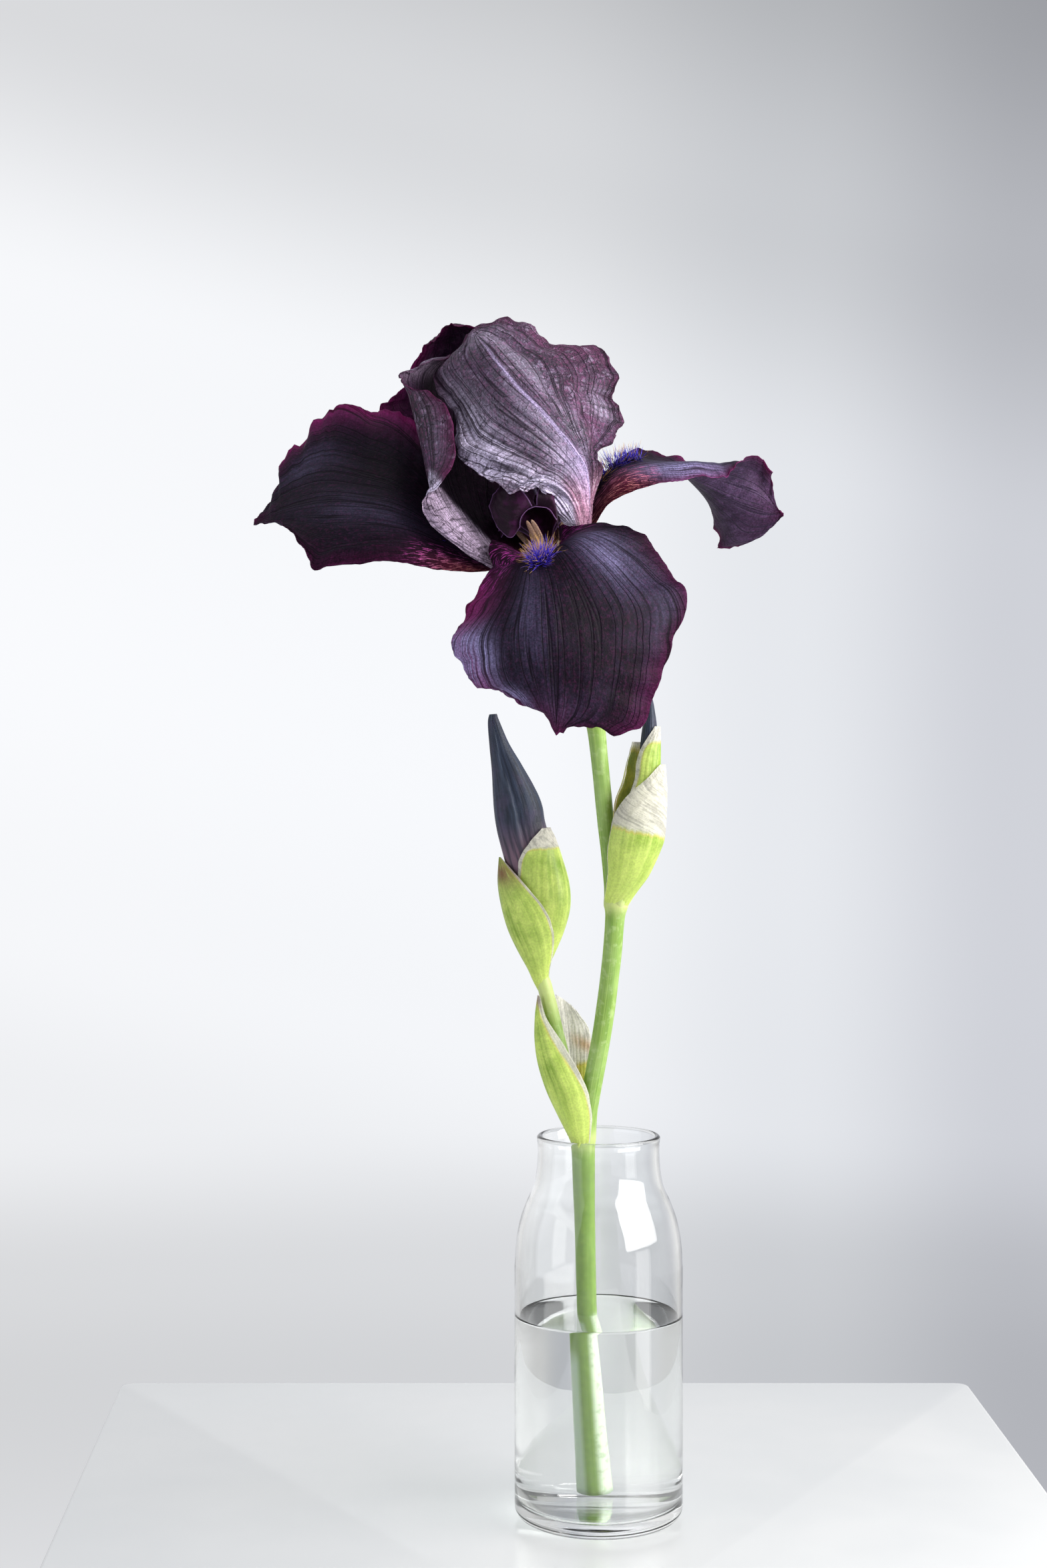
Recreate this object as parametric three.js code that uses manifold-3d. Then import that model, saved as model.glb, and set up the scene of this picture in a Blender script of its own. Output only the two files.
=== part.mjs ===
// A tall bearded iris, one open bloom and two buds on one stalk, in a small clear glass bottle of water.
// Millimetres, +Z up. The origin is the middle of the vase's underside, and the bloom faces -Y.
import * as THREE from "three";
import { mergeVertices } from "three/addons/utils/BufferGeometryUtils.js";
import Module from "manifold-3d";

const wasm = await Module();
wasm.setup();

// Vase and water
const vaseRadius = 29;
const vaseHeight = 131.4;
const mouthRadius = 21;
const wall = 1.7;
const floorThickness = 5;
const waterLevel = 69;
const seatGap = 0.3;
const vaseSides = 36;

// Stalk and buds
const stalkSides = 10;
const stalkRings = 46;
const branchRings = [10, 4];
const budSides = [12, 10];
const budRings = [16, 12];

// Bloom: the middle of its throat, and the way its tube points
const throat = [-17, -51, 322];
const bloomAxis = new THREE.Vector3(-0.4, -0.05, 0.91).normalize();
const tubeDrop = 0.9;
const tubeRadius = 5.7;
const footRise = 0.45;

// Blades, and how many cells each has along and across
const petalThickness = 0.8;
const sheathThickness = 0.8;
const petalCells = [16, 8];
const wideSheathCells = [8, 10];
const narrowSheathCells = [7, 6];
const styleCells = [8, 4];
const crestCells = [4, 4];

// Beards and stamens
const bristleCount = 26;
const bristleSides = 3;
const bristleRadius = 0.42;
const bristleTipRadius = 0.12;
const bristleFan = 2.1;
const coreRadius = 0.8;
const coreSides = 6;
const coreRings = 8;
const filamentSides = 5;
const filamentRings = 4;
const antherSides = 6;
const antherRings = 5;

const colours = {
  glass: 0xe9eef0,
  water: 0xdfe8ea,
  stalk: 0x8fb45c,
  sheath: 0xa9c254,
  paper: 0xd9cfc6,
  bud: 0x2d3350,
  fall: 0x2a1430,
  standard: 0x6f5a70,
  style: 0x4a1c4c,
  stamen: 0xc9b08c,
  beard: 0x4a3fc0,
};

// Each petal is a sheet over hand-set rails that run from its claw to its tip:
// one margin, halfway in, the midrib, halfway out, the other margin.
const petals = {
  fall_front: {
    colour: colours.fall,
    ruffle: [1.2, 3.5, 0.4, 1.0, 3, 2.0],
    rails: [
      [
        [-19.4, -56, 320.4], [-26, -61, 323], [-32, -67, 323], [-35, -77, 318], [-42, -82, 307],
        [-47, -86, 296], [-44, -88, 285], [-32, -91, 280], [-16, -93, 268],
      ],
      [
        [-18.3, -56, 320.9], [-22, -63, 322], [-25, -74, 321], [-27, -84, 319], [-30, -92, 309],
        [-33, -96, 298], [-31, -97, 287], [-24, -95, 278], [-16, -93, 268],
      ],
      [
        [-17, -56, 321.4], [-18, -64, 322], [-20, -74, 322], [-21, -86, 320], [-20, -95, 312],
        [-19, -100, 300], [-18, -100, 289], [-17, -97, 277], [-16, -93, 267],
      ],
      [
        [-15.8, -56, 322], [-14, -62, 324], [-14, -71, 327], [-9, -80, 328], [-3, -87, 319],
        [2, -92, 305], [0, -95, 291], [-4, -94, 275], [-15, -93, 268],
      ],
      [
        [-14.6, -56, 322.6], [-12.5, -59.5, 329], [-9, -66, 333.5], [4, -70, 334], [16, -73, 326],
        [24, -79, 309], [17.5, -85, 293], [10, -88, 270], [-15, -93, 268],
      ],
    ],
  },
  fall_left: {
    colour: colours.fall,
    ruffle: [0.8, 3, 0.0, 1.3, 5, 1.0],
    rails: [
      [
        [-22.2, -52, 319.8], [-29, -57, 320], [-37, -62, 320], [-48, -66, 320], [-59, -69, 321],
        [-73, -70, 322], [-92, -68, 320], [-99, -58, 331], [-114, -41, 337],
      ],
      [
        [-21.8, -50.7, 320], [-29, -55, 320], [-39, -59, 322], [-50, -62, 325], [-62, -64, 329],
        [-75, -64, 331], [-89, -61, 331], [-102, -50, 336], [-114, -41, 337],
      ],
      [
        [-21.3, -49.3, 320.2], [-29, -52, 322], [-41, -54, 326], [-52, -55, 332], [-65, -55, 339],
        [-78, -53, 342], [-91, -49, 343], [-104, -44, 341], [-114, -40, 338],
      ],
      [
        [-20.9, -48, 320.3], [-28, -47, 324], [-39, -44, 331], [-50, -40, 342], [-63, -37, 354],
        [-77, -33, 359], [-92, -30, 360], [-105, -32, 352], [-114, -39, 339],
      ],
      [
        [-20.5, -46.7, 320.5], [-28, -42, 328], [-37, -35, 340], [-47, -27, 357], [-60, -20, 372],
        [-77, -14, 380], [-91, -12, 379], [-106, -22, 362], [-114, -39, 339],
      ],
    ],
  },
  fall_right: {
    colour: colours.fall,
    ruffle: [0.7, 3, 1.5, 1.6, 4, 0.5],
    rails: [
      [
        [-12, -50.6, 324.3], [-6, -53, 330], [1, -54, 342], [9, -54, 347], [19, -50, 350],
        [30, -44, 352], [40, -36, 352], [46, -28, 358], [53, -16, 361], [60, -4, 352], [63, 0, 346],
      ],
      [
        [-12.6, -49.5, 324], [-7, -50, 334], [-1, -51, 344], [6, -49, 352], [17, -44, 355.5],
        [28, -38, 357.5], [38, -28, 358.5], [46, -19, 359.5], [54, -9, 357], [61, -2, 348],
        [63, 0, 346],
      ],
      [
        [-13.1, -48.5, 323.8], [-8, -47, 336], [-3, -44, 347], [3, -40, 355], [13, -34, 359],
        [24, -27, 358], [34, -18, 354], [44, -10, 350], [54, -4, 347], [61, 0, 346], [64, 1, 346],
      ],
      [
        [-13.7, -47.5, 323.5], [-9, -43, 336], [-3, -38, 348], [5, -32, 359], [15, -24, 361],
        [26, -15, 358], [36, -6, 351], [43, -1, 344], [49, 6, 338], [59, 5, 340], [64, 1, 345],
      ],
      [
        [-14.2, -46.4, 323.2], [-9, -40, 336], [-2, -34, 350], [8, -24, 362], [19, -14, 363],
        [29, -4, 358], [38, 4, 349], [42, 10, 341], [42, 14, 334], [55, 11, 336], [64, 1, 345],
      ],
    ],
  },
  standard_right: {
    colour: colours.standard,
    ruffle: [1.0, 4, 0.0, 1.8, 5, 1.2],
    rails: [
      [
        [-14.9, -54.3, 323], [-11.5, -56.5, 330.5], [-9, -67, 336], [-18, -76, 342], [-31, -72, 345.5],
        [-44, -61, 354], [-49, -48, 370], [-54, -38, 386], [-43, -43, 399],
      ],
      [
        [-14.5, -53.5, 323.2], [-9, -56.5, 331], [-8, -65, 339], [-13, -72, 347], [-23, -71, 355],
        [-34, -65, 364.5], [-42, -56, 377], [-48, -47, 390], [-43, -43.5, 399.5],
      ],
      [
        [-14.2, -52.8, 323.3], [-7, -56, 331], [-5.5, -61, 340], [-7, -66, 352], [-15, -69, 364],
        [-24, -67, 374], [-33, -60, 384], [-39, -53, 393], [-42.5, -44, 400],
      ],
      [
        [-13.8, -52.2, 323.4], [-6, -56, 332], [-5, -60, 341], [-4, -63, 353], [-5, -61, 364],
        [-8, -56, 374], [-14, -50, 388], [-29, -44, 399], [-42, -43.5, 400.5],
      ],
      [
        [-13.5, -51.3, 323.6], [-5, -54, 332], [-4, -57, 342], [-2, -57, 354], [3, -50, 363],
        [8, -42, 372], [0, -36, 393.5], [-23, -34, 405.5], [-42, -43, 401],
      ],
    ],
  },
  standard_left: {
    colour: colours.standard,
    ruffle: [0.6, 3, 0.0, 1.2, 4, 0.6],
    rails: [
      [
        [-19.3, -54.5, 320.8], [-27, -60, 320], [-37, -64, 321], [-49, -67, 329], [-58, -67, 340],
        [-53, -67, 346], [-48, -63, 361], [-54, -56, 377], [-65, -48, 384], [-50, -35, 393],
      ],
      [
        [-19.6, -53.7, 320.7], [-27, -58, 321], [-36, -63, 323], [-47, -67, 330], [-55, -67, 340],
        [-55, -61, 350], [-58, -55, 362], [-62, -50, 376], [-64, -44, 386], [-50, -34.5, 393.5],
      ],
      [
        [-19.8, -52.8, 320.6], [-26, -57, 322], [-35, -61, 324], [-45, -64, 332], [-52, -62, 341],
        [-56, -55, 351], [-58, -47, 363], [-60, -41, 377], [-59, -37, 388], [-50, -34, 394],
      ],
      [
        [-20, -52, 320.5], [-26, -56, 323], [-35, -59, 325], [-44, -61, 333], [-50, -59, 342],
        [-54, -50, 353], [-55, -38, 366], [-55, -30, 379], [-54, -29, 389], [-49.5, -33.5, 393.5],
      ],
      [
        [-20.3, -51.3, 320.4], [-25, -55, 324], [-34, -58, 327], [-41, -59, 335], [-46, -56, 345],
        [-50, -45, 356], [-49, -30, 370], [-46, -21, 382], [-46, -23, 391], [-49, -33, 393],
      ],
    ],
  },
  standard_back: {
    colour: colours.standard,
    ruffle: [1.4, 5, 0.0, 1.4, 4, 1.0],
    rails: [
      [
        [-18.6, -47.4, 321.7], [-21, -37, 333], [-30, -28, 345], [-46, -17, 357], [-62, -8, 369],
        [-76, -4, 379], [-70, -7, 389], [-60, -15, 400], [-51, -26, 405],
      ],
      [
        [-17.8, -47.4, 322], [-19, -36, 334], [-26, -25, 347], [-36, -12, 360], [-46, -2, 373],
        [-57, 1, 384], [-57, -3, 395], [-53, -13, 403], [-50.5, -26, 405.5],
      ],
      [
        [-17, -47.4, 322.4], [-17, -35, 335], [-21, -22, 348], [-26, -9, 362], [-31, 0, 376],
        [-37, 2, 387], [-42, -5, 398], [-46, -16, 404], [-50, -26, 406],
      ],
      [
        [-16.3, -47.4, 322.7], [-15, -36, 335], [-16, -24, 348], [-17, -13, 362], [-19, -6, 375],
        [-21, -4, 386], [-27, -8, 398], [-38, -17, 404], [-49.5, -26.5, 405.5],
      ],
      [
        [-15.5, -47.4, 323], [-13, -37, 335], [-11, -28, 348], [-9, -20, 361], [-7, -15, 373],
        [-7, -12, 385], [-14, -12, 397], [-30, -18, 404], [-49, -27, 405],
      ],
    ],
  },
};

// The two sheaths at the lower node, above the vase's mouth.
// Their rails: back margin, halfway, keel, halfway, front margin.
const lowerSheaths = {
  sheath_lower_outer: {
    colour: colours.sheath,
    cells: [12, 8],
    rails: [
      [
        [-3.5, -7.5, 133], [-5, -7.6, 141], [-8, -8, 149], [-11, -9, 157], [-15.5, -11.5, 165],
        [-20, -16.4, 173.5], [-20.8, -19.3, 181],
      ],
      [
        [-8.5, -7.8, 133.3], [-11.5, -7.6, 141], [-15, -8.2, 149], [-18, -9.7, 157.5],
        [-20.5, -12.8, 165.5], [-21.4, -17, 174.5], [-20.9, -19.6, 181],
      ],
      [
        [-10.8, -14, 133.7], [-14.4, -15, 141], [-18, -16, 149], [-20.7, -17, 157.8],
        [-21.8, -17.7, 166], [-21.6, -18.8, 175], [-20.9, -19.9, 181.3],
      ],
      [
        [-7.8, -19.8, 133.3], [-9.8, -22.5, 141], [-12, -24, 149], [-15.5, -23, 157.5],
        [-18.3, -21.6, 165.5], [-20.4, -20.6, 174.5], [-20.6, -20.3, 181],
      ],
      [
        [-2.9, -20.2, 133], [-2.6, -22.8, 141], [-4, -24.6, 149.5], [-7.6, -23.6, 157],
        [-12.3, -22, 165], [-18, -20.8, 173.5], [-20.4, -20.6, 180.8],
      ],
    ],
  },
  sheath_lower_inner: {
    colour: colours.paper,
    cells: [10, 6],
    rails: [
      [[-8, -9.6, 134], [-12, -12, 148], [-13.5, -13, 160], [-14.5, -13.6, 172], [-15, -14.3, 181]],
      [[-5.5, -8.9, 134], [-8.5, -10, 148], [-9.5, -10.5, 160], [-10.5, -11, 171], [-11.5, -12, 178.5]],
      [[-3, -9.4, 134], [-3.6, -11.3, 148], [-3.2, -12, 158], [-3.2, -12.4, 168], [-7.5, -12.6, 175]],
    ],
  },
};

// Stations of the stalk: x, y, z and radius
const mainStalk = [
  [-0.1, 18.8, 6.3, 3.4], [-2.4, 8.5, 45, 3.3], [-3.9, 2.2, 69, 3.2], [-5, -7, 104, 3.3],
  [-5.5, -13.2, 127, 3.6],
  [-5.6, -14.4, 132, 3.9], [-5.1, -15.7, 137, 3.6], [-4.2, -17.2, 143, 3.2], [-2.6, -20, 152, 3],
  [0.8, -26, 173, 2.95],
  [3, -33, 193, 2.95], [4.1, -37, 208, 3], [4.4, -38, 213, 3.8], [3.9, -38.4, 218, 3.2],
  [2.6, -38.8, 228, 2.8],
  [1, -40.2, 240, 2.6], [-0.7, -43, 256, 2.6], [-2.3, -46, 270, 2.8], [-3.6, -47.6, 277, 3.6],
  [-6.4, -49, 286, 4.7],
  [-10, -50.2, 297, 4.6], [-12.8, -50.6, 307, 3.6],
];
const leftBranch = [
  [-5, -14.6, 131, 2.4], [-8, -15.2, 142, 2.2], [-11.6, -16, 155, 2.1], [-16.7, -17, 176, 2.05],
  [-19, -17, 185, 1.95],
  [-20.3, -17, 189.5, 1.7],
];
const rightBranch = [[4.6, -38.4, 211, 2.4], [6, -41.4, 217, 2.2], [8.2, -44.4, 225, 2.1]];

// Stations of a bud's rolled petals: x, y, z and radius
const leftBud = [
  [-20.5, -17, 191, 1.4], [-20.6, -17, 196, 2.9], [-20.6, -17, 202, 5.6], [-20.6, -17, 210, 7.6],
  [-21.4, -17, 218, 8.1],
  [-24.2, -17.2, 228, 8.0], [-26.8, -17.5, 237.3, 7.9], [-28, -17.8, 244, 7.8], [-29.6, -18, 250.4, 6.9],
  [-31.5, -18.3, 257.4, 5.4], [-33.8, -18.6, 264.6, 3.6], [-36, -19, 272.5, 1.6], [-36.2, -19, 276, 0.5],
];
const rightBud = [
  [8.6, -45, 226.2, 1.6], [9.6, -46, 231, 3.4], [10.9, -46.4, 238, 4.5], [12.4, -46, 246, 4.4],
  [13.8, -45.3, 254, 3.3],
  [14.5, -44.8, 262, 2.6], [15.1, -44.4, 270, 2.3], [15.4, -44.2, 277, 1.2], [15.4, -44.1, 281, 0.4],
];
const budFlattening = 0.82;
const wideSheath = 150;

// A sheath wraps a path: x, y, z, radius, and the two bearings in degrees where its margins stand.
// Bearing 0 is +X, 90 is the back, 180 the left and 270 the front.
const sheaths = {
  bud_left_sheath_outer: {
    colour: colours.sheath,
    stations: [
      [-20.3, -17, 188.6, 3.1, 20, 335], [-20.9, -17, 196, 6.6, 50, 322], [-21.2, -17, 203, 9.6, 65, 305],
      [-21.5, -17, 211, 11.6, 85, 285], [-22.3, -17, 219, 12, 110, 255],
      [-23.2, -17.1, 227.6, 10.7, 170, 195],
    ],
  },
  bud_left_sheath_inner: {
    colour: colours.sheath,
    stations: [
      [-20.4, -17, 192.5, 3.4, -150, 150], [-20.2, -17, 196, 4.9, -150, 150],
      [-20.2, -17, 203, 7.8, -148, 148],
      [-19.9, -17, 211, 9.5, -146, 146], [-20.8, -17, 219, 10, -140, 140], [-23, -17.2, 227, 10, -118, 118],
      [-24.8, -17.3, 232, 10.1, -90, 90],
      [-26.7, -17.5, 237.5, 9.7, -45, 45],
    ],
  },
  bud_right_sheath_outer: {
    colour: colours.sheath,
    stations: [
      [5.6, -40.6, 214.4, 4.1, -140, 40], [7.9, -43.4, 223, 7, -165, 80], [9.3, -45.4, 229, 8.3, -172, 100],
      [10.7, -46.4, 235.5, 9.1, -175, 105], [11.9, -46.2, 243, 8.4, -170, 110],
      [13, -45.7, 249, 7.4, -135, 105],
      [13.8, -45.3, 254, 6.4, -92, 84], [14.4, -45, 258.6, 5.3, -45, 55],
    ],
  },
  bud_right_sheath_inner: {
    colour: colours.sheath,
    stations: [
      [10.9, -46.4, 238, 6.8, -150, 90], [12.4, -46, 246, 6, -150, 100], [13.8, -45.3, 254, 4.4, -150, 110],
      [14.3, -44.8, 262, 4.1, -140, 110], [14.9, -44.5, 271, 3.4, -60, 60],
    ],
  },
  bud_right_sheath_back: {
    colour: colours.paper,
    stations: [
      [10.9, -46.4, 236, 8, 115, 178], [12.2, -46, 246, 8.4, 125, 182], [13.2, -45.3, 253, 6.7, 135, 184],
      [13.7, -44.8, 259, 5.6, 145, 184], [14.2, -44.5, 265, 4.4, 160, 182],
    ],
  },
  sheath_top_outer: {
    colour: colours.paper,
    stations: [
      [-2.6, -46.4, 272.8, 5.2, 5, 300], [-5, -48.2, 281, 7.4, 10, 280], [-8.2, -49.6, 291, 8, 20, 260],
      [-11.2, -50.4, 301, 7.6, 40, 240], [-13.4, -50.8, 309, 6.8, 90, 200],
    ],
  },
  sheath_top_inner: {
    colour: colours.sheath,
    stations: [
      [-3.8, -47.4, 277, 7.6, -70, 15], [-5.6, -48.4, 283, 9, -70, 25], [-8.2, -49.6, 291, 9.8, -80, 35],
      [-10.6, -50.3, 299, 9.4, -70, 50], [-12.2, -50.6, 305, 8.6, -30, 50],
    ],
  },
};

// A style arm in its own axes: forward over its fall, sideways, and up.
// Half of it is given: middle, halfway, margin.
const styleHalf = [
  [[2.4, 0, 0.4], [2.4, 0.7, 0.4], [2.4, 1.3, 0.4]],
  [[4.2, 0, 6.5], [4.3, 1.1, 6.3], [4.5, 1.9, 6]],
  [[7.4, 0, 12.5], [7.6, 2, 12], [8, 3.6, 10.4]],
  [[12, 0, 17], [12.1, 3.6, 16], [12.4, 5.6, 12.6]],
  [[17, 0, 18.3], [17, 4, 16.9], [17.1, 6.1, 13]],
  [[20.6, 0, 17.2], [20.4, 4, 15.7], [20, 6, 11.8]],
];
// One crest lobe beyond the lip: inner edge, middle, outer edge.
const crestLobe = [
  [[19.4, 0.6, 17.6], [21, 1.4, 20.4], [20.4, 3.2, 24], [17.4, 5.5, 28]],
  [[19.2, 3.6, 16], [20.2, 6.6, 18], [19, 9.6, 21.5], [16, 10.5, 26.5]],
  [[18.8, 5.9, 12.2], [18.4, 9.4, 9.6], [16.4, 13, 14], [14.6, 14.6, 21.5]],
];
const lipHalf = 6;
// Each arm: the way it points, the way its back faces, its scale, and how far each lobe of its crest spreads.
const styleArms = {
  style_arm_front: { forward: [-0.1, -0.99, 0], up: [-0.2, 0, 0.98], scale: 1, crest: [1, 0] },
  style_arm_left: { forward: [-0.93, 0.2, 0.12], up: [-0.12, -0.12, 0.95], scale: 0.86, crest: [0.55, 0.3] },
  style_arm_right: { forward: [0.68, 0.5, 0.5], up: [-0.5, 0, 0.86], scale: 0.82, crest: [0.5, 0.2] },
};
// A stamen under each arm, in the same axes: filament, then anther.
const filament = [[3.9, 0, 0.4, 0.6], [6, 0.6, 3.6, 0.5], [8.6, 1.2, 6.6, 0.45], [9.8, 1.2, 7.6, 0.4]];
const anther = [[9.2, 1.2, 7, 0.7], [11.6, 1.6, 9.4, 1.1], [14.6, 2.2, 12, 1.05], [17.4, 2.7, 14, 0.6]];
const antherSplit = 0.75;

// Where each beard starts and ends along its fall's midrib, how far its hairs lean on, and how long they are.
// The face is 1 where the fall's upper side is the one its rails turn outward, and -1 where it is the other.
const beards = {
  beard_front: { fall: "fall_front", face: 1, from: 0.2, to: 0.37, lean: 0.5, hair: 4.6, seed: 11 },
  beard_left: { fall: "fall_left", face: -1, from: 0.17, to: 0.36, lean: 0.35, hair: 3.6, seed: 23 },
  beard_right: { fall: "fall_right", face: 1, from: 0.16, to: 0.33, lean: 0.1, hair: 5.2, seed: 37 },
};

// Catmull-Rom weights of `count` evenly spaced points at t from 0 to 1. The ends are carried straight on.
function curveWeights(count, t) {
  const place = Math.min(Math.max(t, 0), 1) * (count - 1);
  const start = Math.min(Math.floor(place), count - 2);
  const f = place - start;
  const spline = [
    -0.5 * f + f * f - 0.5 * f ** 3,
    1 - 2.5 * f * f + 1.5 * f ** 3,
    0.5 * f + 2 * f * f - 1.5 * f ** 3,
    -0.5 * f * f + 0.5 * f ** 3,
  ];
  const weights = new Array(count).fill(0);
  spline.forEach((weight, k) => {
    const at = start + k - 1;
    if (at < 0) {
      weights[0] += 2 * weight;
      weights[1] -= weight;
    } else if (at >= count) {
      weights[count - 1] += 2 * weight;
      weights[count - 2] -= weight;
    } else {
      weights[at] += weight;
    }
  });
  return weights;
}

// The point of a sheet at u along its rails and v across them.
function sheetPoint(rails, u, v) {
  const across = curveWeights(rails.length, v);
  const along = curveWeights(rails[0].length, u);
  const point = new THREE.Vector3();
  rails.forEach((rail, i) => {
    rail.forEach((p, j) => {
      const weight = across[i] * along[j];
      point.x += weight * p[0];
      point.y += weight * p[1];
      point.z += weight * p[2];
    });
  });
  return point;
}

// The way the sheet faces at u and v.
function sheetNormal(rails, u, v) {
  const step = 0.01;
  const shortOfTip = 1 - 4 * step;
  const uLow = Math.min(Math.max(u, step), shortOfTip);
  const alongIt = sheetPoint(rails, uLow + step, v).sub(sheetPoint(rails, uLow - step, v));
  const vLow = Math.min(Math.max(v, step), 1 - step);
  const acrossIt = sheetPoint(rails, uLow, vLow + step).sub(sheetPoint(rails, uLow, vLow - step));
  return alongIt.cross(acrossIt).normalize();
}

// How far a margin waves out of its sheet: fullest at the margins, nothing at the midrib, claw and tip.
// A ruffle is depth, waves and phase for one margin, then for the other.
const ruffleStart = 0.3;
const ruffleLength = 0.68;

function waveOf(ruffle, u, v) {
  if (!ruffle) return 0;
  const side = 2 * v - 1;
  const [depth, waves, phase] = side < 0 ? ruffle.slice(0, 3) : ruffle.slice(3);
  const reach = Math.abs(side) ** 3;
  const spread = Math.sin(Math.PI * Math.min(Math.max((u - ruffleStart) / ruffleLength, 0), 1));
  return depth * reach * spread * Math.sin(2 * Math.PI * waves * u + phase);
}

// A closed blade over a sheet, cut into triangles alike on both faces.
function bladeGeometry(rails, thickness, [cellsAlong, cellsAcross], ruffle) {
  const points = [];
  const rows = cellsAlong + 1;
  const columns = cellsAcross + 1;
  [0.5, -0.5].forEach((side) => {
    for (let i = 0; i < rows; i += 1) {
      for (let j = 0; j < columns; j += 1) {
        const u = i / cellsAlong;
        const v = j / cellsAcross;
        const normal = sheetNormal(rails, u, v);
        const offset = side * thickness + waveOf(ruffle, u, v);
        const point = sheetPoint(rails, u, v).addScaledVector(normal, offset);
        points.push(point.x, point.y, point.z);
      }
    }
  });
  const faces = [];
  const back = rows * columns;
  const at = (i, j) => i * columns + j;
  for (let i = 0; i < cellsAlong; i += 1) {
    for (let j = 0; j < cellsAcross; j += 1) {
      const [a, b, c, d] = [at(i, j), at(i + 1, j), at(i + 1, j + 1), at(i, j + 1)];
      faces.push(a, b, c, a, c, d);
      faces.push(back + a, back + c, back + b, back + a, back + d, back + c);
    }
  }
  const edge = [];
  for (let i = 0; i < cellsAlong; i += 1) edge.push(at(i, 0));
  for (let j = 0; j < cellsAcross; j += 1) edge.push(at(cellsAlong, j));
  for (let i = cellsAlong; i > 0; i -= 1) edge.push(at(i, cellsAcross));
  for (let j = cellsAcross; j > 0; j -= 1) edge.push(at(0, j));
  edge.forEach((p, k) => {
    const q = edge[(k + 1) % edge.length];
    faces.push(p, back + p, back + q, p, back + q, q);
  });
  return closedGeometry(points, faces);
}

function closedGeometry(points, faces) {
  const geometry = new THREE.BufferGeometry();
  geometry.setAttribute("position", new THREE.Float32BufferAttribute(points, 3));
  geometry.setIndex(faces);
  return geometry;
}

// The middle and radius of a stalk or bud at t along its stations.
function stationAt(stations, t) {
  const weights = curveWeights(stations.length, t);
  const blended = (k) => stations.reduce((sum, station, i) => sum + weights[i] * station[k], 0);
  return stations[0].map((_, k) => blended(k));
}

// A round, solid stalk through stations of x, y, z and radius, flattened from front to back if asked.
function stalkGeometry(stations, sides, rings, flattening = 1) {
  const step = 0.01;
  const middle = (t) => new THREE.Vector3(...stationAt(stations, t).slice(0, 3));
  const points = [];
  let sideways = new THREE.Vector3(1, 0, 0);
  for (let i = 0; i <= rings; i += 1) {
    const t = i / rings;
    const ahead = middle(Math.min(t + step, 1)).sub(middle(Math.max(t - step, 0))).normalize();
    sideways = sideways.clone().addScaledVector(ahead, -sideways.dot(ahead)).normalize();
    const outward = ahead.clone().cross(sideways);
    const centre = middle(t);
    const radius = stationAt(stations, t)[3];
    for (let j = 0; j < sides; j += 1) {
      const angle = (2 * Math.PI * j) / sides;
      const point = centre.clone().addScaledVector(sideways, radius * Math.cos(angle));
      point.addScaledVector(outward, radius * flattening * Math.sin(angle));
      points.push(point.x, point.y, point.z);
    }
  }
  const faces = [];
  for (let i = 0; i < rings; i += 1) {
    for (let j = 0; j < sides; j += 1) {
      const next = (j + 1) % sides;
      const below = i * sides;
      const above = below + sides;
      faces.push(below + j, below + next, above + next, below + j, above + next, above + j);
    }
  }
  for (let j = 1; j < sides - 1; j += 1) {
    faces.push(0, j + 1, j);
    faces.push(rings * sides, rings * sides + j, rings * sides + j + 1);
  }
  return closedGeometry(points, faces);
}

// The rails of a sheath that wraps its path between two bearings.
function sheathRails(stations) {
  const railCount = 9;
  const rails = [];
  for (let i = 0; i < railCount; i += 1) {
    rails.push(
      stations.map(([x, y, z, radius, from, to]) => {
        const bearing = THREE.MathUtils.degToRad(from + ((to - from) * i) / (railCount - 1));
        return [x + radius * Math.cos(bearing), y + radius * budFlattening * Math.sin(bearing), z];
      }),
    );
  }
  return rails;
}

function solidOf(geometry) {
  const bare = geometry.clone();
  bare.deleteAttribute("normal");
  bare.deleteAttribute("uv");
  const merged = mergeVertices(bare, 1e-4);
  return new wasm.Manifold(
    new wasm.Mesh({
      numProp: 3,
      vertProperties: merged.attributes.position.array,
      triVerts: new Uint32Array(merged.index.array),
    }),
  );
}

function geometryOf(solid) {
  const { vertProperties, triVerts } = solid.getMesh();
  return closedGeometry([...vertProperties], [...triVerts]);
}

const iris = new THREE.Group();

function addPiece(name, geometry, colour, roughness = 0.6) {
  const material = new THREE.MeshStandardMaterial({ color: colour, roughness, metalness: 0 });
  const mesh = new THREE.Mesh(geometry, material);
  mesh.name = name;
  iris.add(mesh);
  return mesh;
}

// A profile of radius and height turned about Z
function latheAround(profile, sides) {
  const geometry = new THREE.LatheGeometry(profile.map(([r, z]) => new THREE.Vector2(r, z)), sides);
  return geometry.rotateX(Math.PI / 2);
}

// Glass bottle: straight below, drawn in to a plain round mouth with a small bead

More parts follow.
